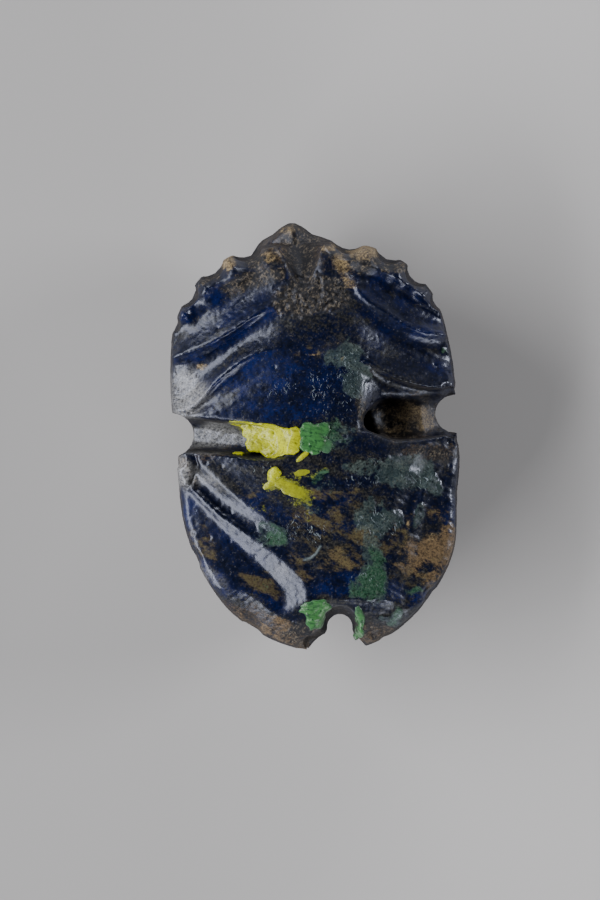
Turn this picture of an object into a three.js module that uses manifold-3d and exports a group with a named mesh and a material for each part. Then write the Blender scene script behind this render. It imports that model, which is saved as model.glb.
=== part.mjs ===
// Scarab amulet carved from one pebble of lapis lazuli. Millimetres, +Z up, +Y towards the head.
// It lies on its domed back, with the carved underside and its folded legs upwards.
import * as THREE from 'three';
import { mergeVertices } from 'three/addons/utils/BufferGeometryUtils.js';
import Module from 'manifold-3d';

const wasm = await Module();
wasm.setup();

// ---------------------------------------------------------------- driving dimensions
// The plan outline before the teeth are cut: its radius every 15 degrees, from +X towards +Y.
const BODY_RADII = [
  7.05, 7.37, 8.06, 9.10, 9.72, 9.73, 9.50, 9.83, 9.68, 8.95, 7.87, 7.15,
  6.90, 7.14, 7.81, 8.67, 9.60, 10.27, 10.65, 10.44, 9.73, 8.87, 7.71, 7.22,
];
const HEAD_RADII = [
  2.40, 2.41, 2.24, 1.98, 1.85, 2.03, 2.25, 2.16, 2.03, 2.17, 2.26, 2.31,
  2.30, 2.20, 2.20, 2.20, 2.20, 2.20, 2.20, 2.20, 2.20, 2.20, 2.20, 2.30,
];
const HEAD_CENTRE = [-0.2, 8.4];

const GIRTH_HEIGHT = 4.6; // height of the widest line above the ground
const FLAT_SHARE = 0.36; // part of the outline that is worn flat under the back
const RIM_SHARE = 0.965; // the side wall leans in towards the carved face
const BLANK_TOP = 9.0; // the uncut blank reaches above the carved face
const BLANK_SIDES = 72;
const DOME_STEPS = 8;

const CROWN_HEIGHT = 7.65; // highest level of the underside
const SIDE_FALL = 1.55; // how far the underside falls from its middle to its sides
const FRONT_FALL = 0.05; // curvature of the fall towards the teeth
const FRONT_FALL_START = 5.0;
const REAR_SLOPE = 0.06; // gentle fall of the abdomen towards the tail
const TAIL_SLOPE = 0.55; // bevel behind the rear line
const TAIL_STEP = 0.12; // how far the bevel starts below the abdomen
const RIM_FALL = 0.24; // rounding of the upper edge, over the outer part of the plan
const RIM_START = 0.92;

const HEAD_RIDGE = 5.2; // height of the ridge along the head
const HEAD_FALL_LEFT = 0.55;
const HEAD_FALL_RIGHT = 0.46;
const HEAD_GIRTH = 3.7;
const HEAD_BOTTOM = 1.9;

// Lines across the underside, as [x, y], from the tail to the teeth.
const REAR_LINE = [[-7.6, -6.6], [-5.7, -7.0], [-4, -7.2], [-2.6, -7.9], [-1, -8.05], [0.4, -8.1],
  [1.5, -8.2], [3.2, -8.4], [4.3, -8.4], [5.2, -7.7], [7.6, -6.0]];
const ABDOMEN_LINE = [[-7.6, -0.9], [-6.3, -1.9], [-4.5, -3.7], [-3, -5.0], [-1.8, -6.1], [-0.6, -7.1],
  [0.6, -7.6], [1.8, -7.5], [3.2, -6.7], [4.1, -5.2], [5.0, -3.4], [6.2, -1.9], [7.6, -1.0]];
const LOWER_LIP = [[-7.6, -0.2], [-6, -0.25], [-4, -0.6], [-3, -0.85], [-1, -0.9], [0.8, -0.5], [2.3, 0.1],
  [3.0, -0.1], [3.7, -0.45], [5, -0.55], [7.6, -0.4]];
const UPPER_LIP = [[-7.6, 1.8], [-6.2, 1.55], [-4, 1.1], [-1.2, 0.62], [0.5, 0.62], [2.2, 0.75], [2.7, 1.1],
  [3.4, 1.6], [4.5, 1.5], [7.6, 1.5]];
const LENS_CREST = [[-7.6, 2.0], [-6.5, 1.8], [-5.9, 1.88], [-5.4, 2.3], [-4.7, 3.0], [-3.83, 3.67], 
  [-3, 4.15], [-2.17, 4.42], [-1.2, 4.5], [0, 4.25], [1.5, 4.0], [2.6, 3.6], [3.6, 2.9], [4.6, 2.33],
  [5.8, 1.95], [7.6, 1.7]];
const FRONT_CREST = [[-7.6, 4.3], [-5, 4.92], [-4, 5.33], [-2.2, 6.3], [-1.2, 6.75], [0.6, 7.1], [2.3, 7.55],
  [3.07, 6.56], [3.9, 5.85], [5.0, 5.0], [6.2, 4.55], [7.6, 4.4]];
const TEETH_FOOT = [[-7.6, 5.0], [-6.2, 6.2], [-5.2, 7.3], [-4, 8.0], [-1.6, 8.4], [0.4, 8.5], [2.6, 8.3],
  [4.2, 7.7], [5.3, 7.0], [6.3, 5.9], [7.6, 4.9]];

// Crests of the two hind legs, from the shoulder to the tail.
const LEFT_SHIN = [[-7.0, -1.2], [-6.2, -2.0], [-5, -3.33], [-3.4, -4.67], [-2.4, -5.53], [-1.45, -6.5],
  [-1.08, -7.1], [-1.0, -7.6], [-1.15, -8.4]];
const RIGHT_SHIN = [[6.2, -1.6], [5.2, -2.9], [4.6, -4.1], [3.9, -5.6], [3.35, -6.6],
  [2.95, -7.4], [2.85, -8.6]];
// Each leg: how strongly it is cut, then the widths of its outer facet and of the hollow beyond,
// both at the shoulder and at the tail.
const LEFT_LEG = { strength: 1, facet: [0.25, 1.15], hollow: [1.3, 2.6] };
const RIGHT_LEG = { strength: 0.7, facet: [0.35, 0.9], hollow: [1.3, 2.2] };
const LEG_RIB_WIDTH = 1.15; // from the crest of a leg to the crest of the rib inside it
const LEG_RIB_DEPTH = 0.34;
const LEG_FACET_DROP = 0.06; // at its narrowest, and then for each millimetre of its width
const LEG_FACET_SLOPE = 0.38;

// Each band of the underside between two of the lines, with how many rows of the mesh it gets.
const BAND_ROWS = [5, 11, 14, 7, 7, 9, 7, 4];
const FACE_COLUMNS = 46;
const FACE_HALF_WIDTH = 7.55;
const FACE_REAR = -11.0;
const FACE_FRONT = 10.1;

// Depth of the flutes between two crests, and where their bottom lies: a lower lean is nearer
// the front crest.
const TEETH_FLUTE = { depth: 0.55, lean: 0.75 };
const FRONT_FLUTE = { depth: 0.62, lean: 0.62 };
const LENS_FLUTE = { depth: 0.5, lean: 0.5 };
const FLUTE_MIDDLE = 0.5; // the flutes fade out around this x
const CHANNEL = { left: [-2.7, -1.1], right: [2.1, 3.0] }; // where its two halves run out under the bridge
const LEFT_FLOOR = { x: -3, height: 5.75, slope: 0.42 }; // both floors of the channel rise to the right
const RIGHT_FLOOR = { x: 3, height: 6.05, slope: 0.22, crest: 5.3, fall: 0.9 };

// Scallops between the teeth: [x, y, radius] at the height of the girth, then the lean outwards.
const SCALLOPS = [
  [-2.65, 9.85, 0.8], [-4.5, 9.0, 0.68], [-5.85, 7.68, 0.64], [-6.68, 6.22, 0.46],
  [2.55, 9.82, 0.84], [4.55, 8.98, 0.7], [5.9, 7.7, 0.66], [6.82, 6.22, 0.48],
];
const SCALLOP_LEAN = 0.09;
const SCOOP_DEPTH = 0.5; // each scallop runs on into the face as a scoop
const SCOOP_REACH = [-0.2, 0.6]; // measured from the edge of the scallop
const CUTTER_SIDES = 14;

const SIDE_NOTCHES = [[-7.0, 0.72, 1.06], [6.92, 0.55, 0.92]]; // [x, y, radius] of the waist at each side
const DRILL_RADIUS = 0.66; // the two slanting holes that meet under the bridge
const DRILL_MEETING = [0.7, 0.25, 4.4];
const DRILL_MOUTHS = [[-3.4, 0.3, 6.6], [3.8, 0.55, 6.9]];
const TAIL_NOTCH = [[0.4, -9.42, 0.63], [0.35, -9.9, 0.72], [0.25, -10.5, 1.0], [0.15, -11.2, 1.6]];
const TAIL_NOTCH_FLARE = 0.19; // how fast the notch opens upwards

const BACK_LINE_RADIUS = 0.24; // shallow lines on the domed back
const COLLAR_LINE_Y = 4.3;
const COLLAR_LINE_BOW = 0.9;
const WING_LINE = [3.3, 4.3, -8.2, -4.1]; // the line between the wing cases skips the flat spot

const OFFSET = [0.106, 0.088]; // middle of the finished plan, which is put over the origin

// ---------------------------------------------------------------- small helpers
const clamp = (t) => Math.min(1, Math.max(0, t));
const ease = (from, to, t) => {
  const s = clamp((t - from) / (to - from));
  return s * s * (3 - 2 * s);
};
const bell = (t, width) => Math.exp(-((t / width) ** 2));

// A smooth closed outline from radii at equal angles.
function radiusAt(radii, angle) {
  const turn = (((angle / (2 * Math.PI)) % 1) + 1) % 1;
  const place = turn * radii.length;
  const k = Math.floor(place);
  const t = place - k;
  const [a, b, c, d] = [-1, 0, 1, 2].map((step) => radii[(k + step + radii.length) % radii.length]);
  return b + 0.5 * t * (c - a + t * (2 * a - 5 * b + 4 * c - d + t * (3 * (b - c) + d - a)));
}

// The height y of a line at x: a smooth curve through its points.
function lineAt(points, x) {
  let k = 0;
  while (k < points.length - 2 && x > points[k + 1][0]) k += 1;
  const slope = (i) => {
    const before = points[Math.max(i - 1, 0)];
    const after = points[Math.min(i + 1, points.length - 1)];
    return (after[1] - before[1]) / (after[0] - before[0]);
  };
  const [x0, y0] = points[k];
  const [x1, y1] = points[k + 1];
  const run = x1 - x0;
  const t = (x - x0) / run;
  const rise = y1 - y0;
  const bend = t * (1 - t);
  return y0 + rise * t * t * (3 - 2 * t) + run * bend * ((1 - t) * slope(k) - t * slope(k + 1));
}

function solidOf(geometry) {
  geometry.deleteAttribute('normal');
  geometry.deleteAttribute('uv');
  const merged = mergeVertices(geometry, 1e-5);
  return new wasm.Manifold(new wasm.Mesh({
    numProp: 3,
    vertProperties: new Float32Array(merged.attributes.position.array),
    triVerts: new Uint32Array(merged.index.array),
  }));
}

// A round cutter from one point to another, with a radius at each end.
function rod(from, to, fromRadius, toRadius, sides = CUTTER_SIDES) {
  const start = new THREE.Vector3(...from);
  const end = new THREE.Vector3(...to);
  const geometry = new THREE.CylinderGeometry(toRadius, fromRadius, start.distanceTo(end), sides);
  const direction = end.clone().sub(start).normalize();
  geometry.applyQuaternion(new THREE.Quaternion().setFromUnitVectors(new THREE.Vector3(0, 1, 0), direction));
  geometry.translate(...start.add(end).multiplyScalar(0.5).toArray());
  return solidOf(geometry);
}

// ---------------------------------------------------------------- the blank
// A turned profile whose rings are stretched to the plan outline.
function blank(radii, centre, profile, sides) {
  const geometry = new THREE.LatheGeometry(profile.map(([share, z]) => new THREE.Vector2(share, z)), sides);
  geometry.rotateX(Math.PI / 2);
  const place = geometry.attributes.position;
  for (let i = 0; i < place.count; i += 1) {
    const reach = radiusAt(radii, Math.atan2(place.getY(i), place.getX(i)));
    place.setXY(i, centre[0] + place.getX(i) * reach, centre[1] + place.getY(i) * reach);
  }
  return solidOf(geometry);
}

// The domed back rises from the flat spot to the girth as a quarter ellipse.
function domeHeight(share) {
  const k = clamp((share - FLAT_SHARE) / (1 - FLAT_SHARE));
  return GIRTH_HEIGHT * (1 - Math.sqrt(1 - k * k));
}

function bodyProfile() {
  const profile = [[0, 0]];
  for (let k = 0; k <= DOME_STEPS; k += 1) {
    const share = FLAT_SHARE + (1 - FLAT_SHARE) * Math.sin((k / DOME_STEPS) * (Math.PI / 2));
    profile.push([share, domeHeight(share)]);
  }
  const shoulder = [1 - (1 - RIM_SHARE) * 0.4, 5.6];
  return profile.concat([shoulder, [RIM_SHARE, 6.5], [RIM_SHARE, BLANK_TOP], [0, BLANK_TOP]]);
}

function headProfile() {
  return [[0, HEAD_BOTTOM], [0.5, HEAD_BOTTOM], [0.85, 2.6], [1, HEAD_GIRTH], [0.97, 4.4], [0.8, 5.0],
    [0.7, 6.5], [0, 6.5]];
}

// ---------------------------------------------------------------- the carved underside
// From a crest the surface drops into a hollow and climbs to the next crest.
function saw(s, lean) {
  return -Math.sin(Math.PI * clamp(s) ** lean);
}

function crownAt(x, y) {
  const side = SIDE_FALL * Math.abs(x / 7) ** 2.2;
  const front = FRONT_FALL * Math.max(0, y - FRONT_FALL_START) ** 2;
  const rear = REAR_SLOPE * Math.max(0, -1 - y);
  return CROWN_HEIGHT - side - front - rear;
}

// Front legs and middle legs: three bands between the channel and the teeth.
function frontRelief(x, y) {
  const fade = 0.12 + 0.88 * ease(0.4, 4, Math.abs(x - FLUTE_MIDDLE));
  const lines = [TEETH_FOOT, FRONT_CREST, LENS_CREST, UPPER_LIP];
  const [foot, front, lens, lip] = lines.map((line) => lineAt(line, x));
  if (y > foot) return 0;
  if (y > front) return TEETH_FLUTE.depth * fade * saw((foot - y) / (foot - front), TEETH_FLUTE.lean);
  if (y > lens) return FRONT_FLUTE.depth * fade * saw((front - y) / (front - lens), FRONT_FLUTE.lean);
  const s = clamp((lens - y) / (lens - lip));
  const swell = LENS_FLUTE.depth * fade * saw(s, LENS_FLUTE.lean) * (1 - 0.75 * s);
  const slopeToChannel = 0.95 * s * ease(2.2, 3.6, x);
  return swell - slopeToChannel - 0.12 * ease(0.75, 1, s);
}

// The channel round the waist, open at both sides and bridged in the middle.
function channelRelief(x, y) {
  const upper = lineAt(UPPER_LIP, x);
  const lower = lineAt(LOWER_LIP, x);
  const across = clamp((y - lower) / (upper - lower)) * 2 - 1;
  const floorLeft = LEFT_FLOOR.height + LEFT_FLOOR.slope * (x - LEFT_FLOOR.x);
  const climb = RIGHT_FLOOR.slope * (Math.min(x, RIGHT_FLOOR.crest) - RIGHT_FLOOR.x);
  const floorRight = RIGHT_FLOOR.height + climb - RIGHT_FLOOR.fall * Math.max(0, x - RIGHT_FLOOR.crest);
  const left = (1 - ease(...CHANNEL.left, x)) * (crownAt(x, y) - floorLeft);
  const right = ease(...CHANNEL.right, x) * (crownAt(x, y) - floorRight);
  return -(left + right) * (1 - across ** 4);
}

// How far a point lies beside a path (positive on its left hand), and how far along it.
function beside(path, x, y) {
  let nearest = { distance: Infinity, run: 0 };
  let length = 0;
  for (let k = 0; k < path.length - 1; k += 1) {
    const [ax, ay] = path[k];
    const along = [path[k + 1][0] - ax, path[k + 1][1] - ay];
    const span = Math.hypot(...along);
    const [ux, uy] = [along[0] / span, along[1] / span];
    const t = Math.min(span, Math.max(0, (x - ax) * ux + (y - ay) * uy));
    const [dx, dy] = [x - ax - t * ux, y - ay - t * uy];
    const distance = Math.hypot(dx, dy);
    if (distance < Math.abs(nearest.distance)) {
      nearest = { distance: ux * dy - uy * dx < 0 ? -distance : distance, run: length + t };
    }
    length += span;
  }
  return { ...nearest, length };
}

// A hind leg: a crest with a flat facet outside it, and a narrow hollow and a fading rib inside it.
function legRelief(path, leg, inward, x, y) {
  const { distance, run, length } = beside(path, x, y);
  const strength = leg.strength * ease(0, 0.9, run);
  const inside = distance * inward;
  const rib = strength * (1 - 0.85 * ease(0.2, 0.75, run / length));
  if (inside >= LEG_RIB_WIDTH) {
    const past = inside - LEG_RIB_WIDTH;
    return -0.1 * rib * ease(0, 0.6, past) * (1 - ease(0.6, 1.8, past));
  }
  if (inside >= 0) return LEG_RIB_DEPTH * rib * saw(inside / LEG_RIB_WIDTH, 0.6);
  const along = ease(0.5, 0.85 * length, run);
  const facet = leg.facet[0] + (leg.facet[1] - leg.facet[0]) * along;
  const hollow = leg.hollow[0] + (leg.hollow[1] - leg.hollow[0]) * along;
  const out = -inside;
  const depth = LEG_FACET_DROP + LEG_FACET_SLOPE * facet;
  return -depth * strength * (out < facet ? out / facet : 1 - clamp((out - facet) / hollow) ** 1.1);
}

const smoothPath = (points) => new THREE.SplineCurve(points.map((point) => new THREE.Vector2(...point)))
  .getPoints(4 * (points.length - 1)).map((point) => point.toArray());
const leftPath = smoothPath(LEFT_SHIN);
const rightPath = smoothPath(RIGHT_SHIN);

function hindRelief(x, y) {
  const left = legRelief(leftPath, LEFT_LEG, 1, x, y) * (1 - ease(-0.6, 1.4, x));
  return left + legRelief(rightPath, RIGHT_LEG, -1, x, y) * ease(0.2, 1.8, x);
}

// Abdomen and hind legs, the hollow of the right shoulder, and the bevel behind the rear line.
function rearHeight(x, y) {
  const line = lineAt(REAR_LINE, x);
  const behind = line - y;
  const shoulder = -0.4 * bell(Math.hypot((x - 5.6) / 1.5, (y + 1.25) / 0.6), 1);
  const top = crownAt(x, y) + hindRelief(x, y) * (1 - ease(0.2, 1.2, behind)) + shoulder;
  return behind > 0 ? Math.min(top, crownAt(x, line) - TAIL_STEP - TAIL_SLOPE * behind) : top;
}

// Each scallop between two teeth runs on inwards as a shallow scoop.
function scoopDepth(x, y) {
  const depths = SCALLOPS.map(([cx, cy, radius]) => {
    const past = Math.hypot(x - cx, y - cy) - radius;
    return SCOOP_DEPTH * (1 - ease(...SCOOP_REACH, past));
  });
  return Math.max(...depths);
}

function faceHeight(x, y) {
  const upper = lineAt(UPPER_LIP, x);
  const share = Math.hypot(x, y) / radiusAt(BODY_RADII, Math.atan2(y, x));
  const rim = RIM_FALL * clamp((share - RIM_START) / (1 - RIM_START)) ** 2 + scoopDepth(x, y);
  if (y > upper) return crownAt(x, y) + frontRelief(x, y) - rim;
  if (y < lineAt(LOWER_LIP, x)) return rearHeight(x, y) - rim;
  return crownAt(x, y) + channelRelief(x, y) + frontRelief(x, upper) - rim;
}

function headHeight(x, y) {
  const aside = x - HEAD_CENTRE[0];
  const nose = 0.55 * Math.max(0, y - 10.15);
  return HEAD_RIDGE - (aside < 0 ? -HEAD_FALL_LEFT * aside : HEAD_FALL_RIGHT * aside) - nose;
}

// A block whose top is the carved surface. Its rows follow the given lines, so crests stay sharp.
function carvedBlock(halfWidth, columns, lines, rows, height) {
  const rowCount = rows.reduce((sum, n) => sum + n, 0);
  const geometry = new THREE.BoxGeometry(2 * halfWidth, rowCount, 2, columns, rowCount, 1);
  const place = geometry.attributes.position;
  for (let i = 0; i < place.count; i += 1) {
    const x = place.getX(i);
    let row = Math.round(place.getY(i) + rowCount / 2);
    let band = 0;
    while (row > rows[band]) {
      row -= rows[band];
      band += 1;
    }
    const low = lines[band](x);
    const y = low + (lines[band + 1](x) - low) * (row / rows[band]);
    place.setXYZ(i, x, y, place.getZ(i) > 0 ? height(x, y) : -1);
  }
  return solidOf(geometry);
}

// ---------------------------------------------------------------- the cuts
function scallops() {
  return SCALLOPS.map(([x, y, radius]) => {
    const reach = Math.hypot(x, y);
    const at = (z) => {
      const out = SCALLOP_LEAN * (GIRTH_HEIGHT - z);
      return [x + (out * x) / reach, y + (out * y) / reach, z];
    };
    return rod(at(0.5), at(9), radius, radius);
  });
}

// The hollow between the two inner teeth widens towards the head.
function frontGap() {
  return rod([0.1, 7.1, 7.5], [0.1, 10.4, 6.3], 0.12, 1.55, 16);
}

function waistCuts() {
  const notches = SIDE_NOTCHES.map(([x, y, radius]) => rod([x, y, -1], [x, y, 9.5], radius, radius, 20));
  const drills = DRILL_MOUTHS.map((mouth) => rod(DRILL_MEETING, mouth, DRILL_RADIUS, DRILL_RADIUS));
  return notches.concat(drills);
}

function tailCuts() {
  return TAIL_NOTCH.flatMap(([x, y, radius]) => [
    rod([x, y, -1], [x, y, GIRTH_HEIGHT + 0.4], radius, radius),
    rod([x, y, GIRTH_HEIGHT], [x, y, 9.5], radius, radius + TAIL_NOTCH_FLARE * (9.5 - GIRTH_HEIGHT)),
  ]);
}

// Shallow lines that follow the dome of the back.
function backPoint(x, y) {
  const share = Math.hypot(x, y) / radiusAt(BODY_RADII, Math.atan2(y, x));
  return [x, y, domeHeight(share) - BACK_LINE_RADIUS * 0.15];
}

function backLines() {
  const stretches = [];
  for (let x = -6; x < 6; x += 1.2) {
    const bowed = (at) => backPoint(at, COLLAR_LINE_Y - COLLAR_LINE_BOW * (at / 6) ** 2);
    stretches.push([bowed(x), bowed(x + 1.25)]);
  }
  const [frontStart, frontEnd, rearEnd, rearStart] = WING_LINE;
  stretches.push([backPoint(0, frontStart), backPoint(0, frontEnd)]);
  for (let y = rearStart; y > rearEnd; y -= 1) {
    stretches.push([backPoint(0, y), backPoint(0, y - 1.05)]);
  }
  return stretches.map(([from, to]) => rod(from, to, BACK_LINE_RADIUS, BACK_LINE_RADIUS, 6));
}

// ---------------------------------------------------------------- the amulet
function carveScarab() {
  const lines = [() => FACE_REAR]
    .concat([REAR_LINE, ABDOMEN_LINE, LOWER_LIP, UPPER_LIP, LENS_CREST, FRONT_CREST, TEETH_FOOT]
      .map((line) => (x) => lineAt(line, x)))
    .concat([() => FACE_FRONT]);
  const face = carvedBlock(FACE_HALF_WIDTH, FACE_COLUMNS, lines, BAND_ROWS, faceHeight);
  let body = blank(BODY_RADII, [0, 0], bodyProfile(), BLANK_SIDES).intersect(face);
  for (const cutter of [...scallops(), frontGap(), ...waistCuts(), ...tailCuts(), ...backLines()]) {
    body = body.subtract(cutter);
  }
  const headFace = carvedBlock(3, 10, [() => 6, () => 10.15, () => 11.2], [6, 4], headHeight);
  const head = blank(HEAD_RADII, HEAD_CENTRE, headProfile(), 40).intersect(headFace);
  return body.add(head);
}

const carved = carveScarab().getMesh();
const geometry = new THREE.BufferGeometry();
geometry.setAttribute('position', new THREE.BufferAttribute(new Float32Array(carved.vertProperties), 3));
geometry.setIndex(new THREE.BufferAttribute(new Uint32Array(carved.triVerts), 1));
geometry.computeVertexNormals();

const lapis = new THREE.MeshStandardMaterial({ color: 0x24306b, roughness: 0.42, metalness: 0 });
const scarab = new THREE.Mesh(geometry, lapis);
scarab.name = 'scarab';
scarab.position.set(-OFFSET[0], -OFFSET[1], 0);

const group = new THREE.Group();
group.add(scarab);

export default group;
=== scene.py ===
"""A scarab amulet of lapis lazuli, lying on its domed back with the carved underside up.

All shaping is worked out in millimetres, with +Y towards the head and +Z up.
It is scaled to metres at the end.
"""

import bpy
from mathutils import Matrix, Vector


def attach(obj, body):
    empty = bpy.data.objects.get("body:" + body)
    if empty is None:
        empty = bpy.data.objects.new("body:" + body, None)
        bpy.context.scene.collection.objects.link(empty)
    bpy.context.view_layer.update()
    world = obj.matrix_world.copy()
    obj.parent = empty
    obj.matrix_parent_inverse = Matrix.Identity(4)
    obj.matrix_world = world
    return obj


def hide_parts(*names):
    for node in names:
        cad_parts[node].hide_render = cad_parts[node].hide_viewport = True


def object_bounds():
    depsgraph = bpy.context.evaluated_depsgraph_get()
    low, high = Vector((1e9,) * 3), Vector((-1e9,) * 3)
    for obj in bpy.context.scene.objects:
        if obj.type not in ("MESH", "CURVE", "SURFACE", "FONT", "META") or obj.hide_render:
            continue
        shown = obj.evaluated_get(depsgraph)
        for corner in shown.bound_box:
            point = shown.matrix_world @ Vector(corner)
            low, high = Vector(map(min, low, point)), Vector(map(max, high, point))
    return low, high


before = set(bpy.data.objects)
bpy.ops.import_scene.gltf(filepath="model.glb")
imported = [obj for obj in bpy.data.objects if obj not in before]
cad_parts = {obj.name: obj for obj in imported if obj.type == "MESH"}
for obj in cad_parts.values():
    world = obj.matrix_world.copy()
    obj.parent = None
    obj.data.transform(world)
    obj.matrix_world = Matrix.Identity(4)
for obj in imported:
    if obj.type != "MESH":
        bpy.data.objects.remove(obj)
cad_box = [list(corner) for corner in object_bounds()]

import math
from types import SimpleNamespace

import bpy
import numpy as np
from mathutils import Matrix, Vector

bl_info = {
    "name": "Lapis Scarab Amulet",
    "version": (1, 0, 0),
    "blender": (4, 5, 0),
    "location": "3D View > Sidebar > Scarab",
    "description": "Carves a small lapis scarab amulet with worn legs, putty residue and a studio stage",
    "category": "Add Mesh",
}

MM = 0.001
ABOVE_ALL = 20  # millimetres, a height above the whole amulet

# ------------------------------------------------------------------ plan and lines, millimetres
# Radius of the plan outline every 15 degrees, from +X towards +Y.
BODY_RADII = (
    7.05, 7.37, 8.06, 9.10, 9.72, 9.73, 9.50, 9.83, 9.68, 8.95, 7.87, 7.15, 6.90, 7.14, 7.81, 8.67, 9.60,
    10.27, 10.65, 10.44, 9.73, 8.87, 7.71, 7.22,
)
HEAD_RADII = (
    2.40, 2.41, 2.24, 1.98, 1.85, 2.03, 2.25, 2.16, 2.03, 2.17, 2.26, 2.31, 2.30, 2.20, 2.20, 2.20, 2.20,
    2.20, 2.20, 2.20, 2.20, 2.20, 2.20, 2.30,
)
HEAD_CENTRE = (-0.2, 8.4)
OFFSET = (0.106, 0.088)

REAR_LINE = (
    (-7.6, -6.6), (-5.7, -7.0), (-4, -7.2), (-2.6, -7.9), (-1, -8.05), (0.4, -8.1), (1.5, -8.2),
    (3.2, -8.4), (4.3, -8.4), (5.2, -7.7), (7.6, -6.0),
)
LOWER_LIP = (
    (-7.6, -0.2), (-6, -0.25), (-4, -0.6), (-3, -0.85), (-1, -0.9), (0.8, -0.5), (2.3, 0.1), (3.0, -0.1),
    (3.7, -0.45), (5, -0.55), (7.6, -0.4),
)
UPPER_LIP = (
    (-7.6, 1.8), (-6.2, 1.55), (-4, 1.1), (-1.2, 0.62), (0.5, 0.62), (2.2, 0.75), (2.7, 1.1), (3.4, 1.6),
    (4.5, 1.5), (7.6, 1.5),
)
LENS_CREST = (
    (-7.6, 2.0), (-6.5, 1.8), (-5.9, 1.88), (-5.4, 2.3), (-4.7, 3.0), (-3.83, 3.67), (-3, 4.15),
    (-2.17, 4.42), (-1.2, 4.5), (0, 4.25), (1.5, 4.0), (2.6, 3.6), (3.6, 2.9), (4.6, 2.33), (5.8, 1.95),
    (7.6, 1.7),
)
FRONT_CREST = (
    (-7.6, 4.3), (-5, 4.92), (-4, 5.33), (-2.2, 6.3), (-1.2, 6.75), (0.6, 7.1), (2.3, 7.55), (3.07, 6.56),
    (3.9, 5.85), (5.0, 5.0), (6.2, 4.55), (7.6, 4.4),
)
TEETH_FOOT = (
    (-7.6, 5.0), (-6.2, 6.2), (-5.2, 7.3), (-4, 8.0), (-1.6, 8.4), (0.4, 8.5), (2.6, 8.3), (4.2, 7.7),
    (5.3, 7.0), (6.3, 5.9), (7.6, 4.9),
)
LEFT_SHIN = (
    (-7.0, -1.2), (-6.2, -2.0), (-5, -3.33), (-3.4, -4.67), (-2.4, -5.53), (-1.45, -6.5), (-1.08, -7.1),
    (-1.0, -7.6), (-1.15, -8.4),
)
RIGHT_SHIN = ((6.2, -1.6), (5.2, -2.9), (4.6, -4.1), (3.9, -5.6), (3.35, -6.6), (2.95, -7.4), (2.85, -8.6))

# Each leg: strength of the cut, then facet and hollow widths at the shoulder and at the tail.
LEFT_LEG = (1.0, (0.25, 1.15), (1.3, 2.6))
RIGHT_LEG = (0.7, (0.35, 0.9), (1.3, 2.2))

GIRTH_HEIGHT = 4.6
FLAT_SHARE = 0.36
RIM_SHARE = 0.988
CROWN_HEIGHT = 7.65
SIDE_FALL = 1.55
FRONT_FALL = 0.05
FRONT_FALL_START = 5.0
REAR_SLOPE = 0.06
TAIL_SLOPE = 0.55
TAIL_STEP = 0.12
CREST_ROUNDING = 0.06
# Depth of the flutes between two crests, and how their bottom leans.
TEETH_FLUTE = (0.55, 0.75)
FRONT_FLUTE = (0.62, 0.62)
LENS_FLUTE = (0.5, 0.5)
# Where the two halves of the channel run out under the bridge, and their rising floors.
CHANNEL_LEFT = (-2.7, -1.1)
CHANNEL_RIGHT = (2.1, 3.0)
LEFT_FLOOR = {"x": -3, "height": 5.75, "slope": 0.42}
RIGHT_FLOOR = {"x": 3, "height": 6.05, "slope": 0.22, "crest": 5.3, "fall": 0.9}
LEG_RIB_WIDTH = 1.15
LEG_RIB_DEPTH = 0.34
LEG_FACET_DROP = 0.06
LEG_FACET_SLOPE = 0.38
RIM_START = 0.945
SCOOP_REACH = (-0.2, 0.55)

SCALLOPS = (
    (-2.65, 9.85, 0.82), (-4.5, 9.0, 0.7), (-5.85, 7.68, 0.66), (-6.68, 6.22, 0.48), (2.55, 9.82, 0.86),
    (4.55, 8.98, 0.72), (5.9, 7.7, 0.68), (6.82, 6.22, 0.5),
)
# Rounded knobs between the scallops: x, y, half length, half width, turn in degrees, height.
KNUCKLES = (
    (-3.45, 8.7, 0.95, 0.4, 112, 0.22), (-1.3, 8.8, 0.9, 0.65, 100, 0.15),
    (-4.95, 7.75, 0.9, 0.35, 128, 0.18), (1.35, 8.8, 0.9, 0.4, 85, 0.15), (3.3, 8.6, 0.9, 0.5, 68, 0.22),
    (5.0, 7.75, 0.9, 0.35, 52, 0.18), (6.1, 6.6, 0.7, 0.3, 40, 0.14), (-6.1, 6.6, 0.7, 0.3, 140, 0.14),
)
SCALLOP_LEAN = 0.09
SIDE_NOTCHES = ((-7.0, 0.72, 1.06), (6.92, 0.55, 0.92))
DRILL_MEETING = (0.7, 0.25, 4.4)
DRILL_MOUTHS = ((-3.4, 0.3, 6.6), (3.8, 0.55, 6.9))
DRILL_RADIUS = 0.66
# Lines on the domed back: half width, depth, y and bow of the collar line, the two runs of the wing line.
BACK_LINES = (0.23, 0.2, 4.3, 0.9, (3.3, 4.3), (-8.2, -4.1))
TAIL_NOTCH = ((0.4, -9.42, 0.63), (0.35, -9.9, 0.72), (0.25, -10.5, 1.0), (0.15, -11.2, 1.6))


# ------------------------------------------------------------------ shaping formulas
def ease(low, high, value):
    s = np.clip((value - low) / (high - low), 0, 1)
    return s * s * (3 - 2 * s)


def bell(value, width):
    return np.exp(-(value / width) ** 2)


def spots_at(spots, x, y, soft=0.5):
    """The strongest of some soft-edged oval spots at each point."""
    strongest = np.zeros(np.shape(x))
    for cx, cy, half_length, half_width, turn, strength in spots:
        c, s = math.cos(math.radians(turn)), math.sin(math.radians(turn))
        along = ((x - cx) * c + (y - cy) * s) / half_length
        across = ((y - cy) * c - (x - cx) * s) / half_width
        strongest = np.maximum(strongest, strength * (1 - ease(1 - soft, 1 + soft, np.hypot(along, across))))
    return strongest


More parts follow.
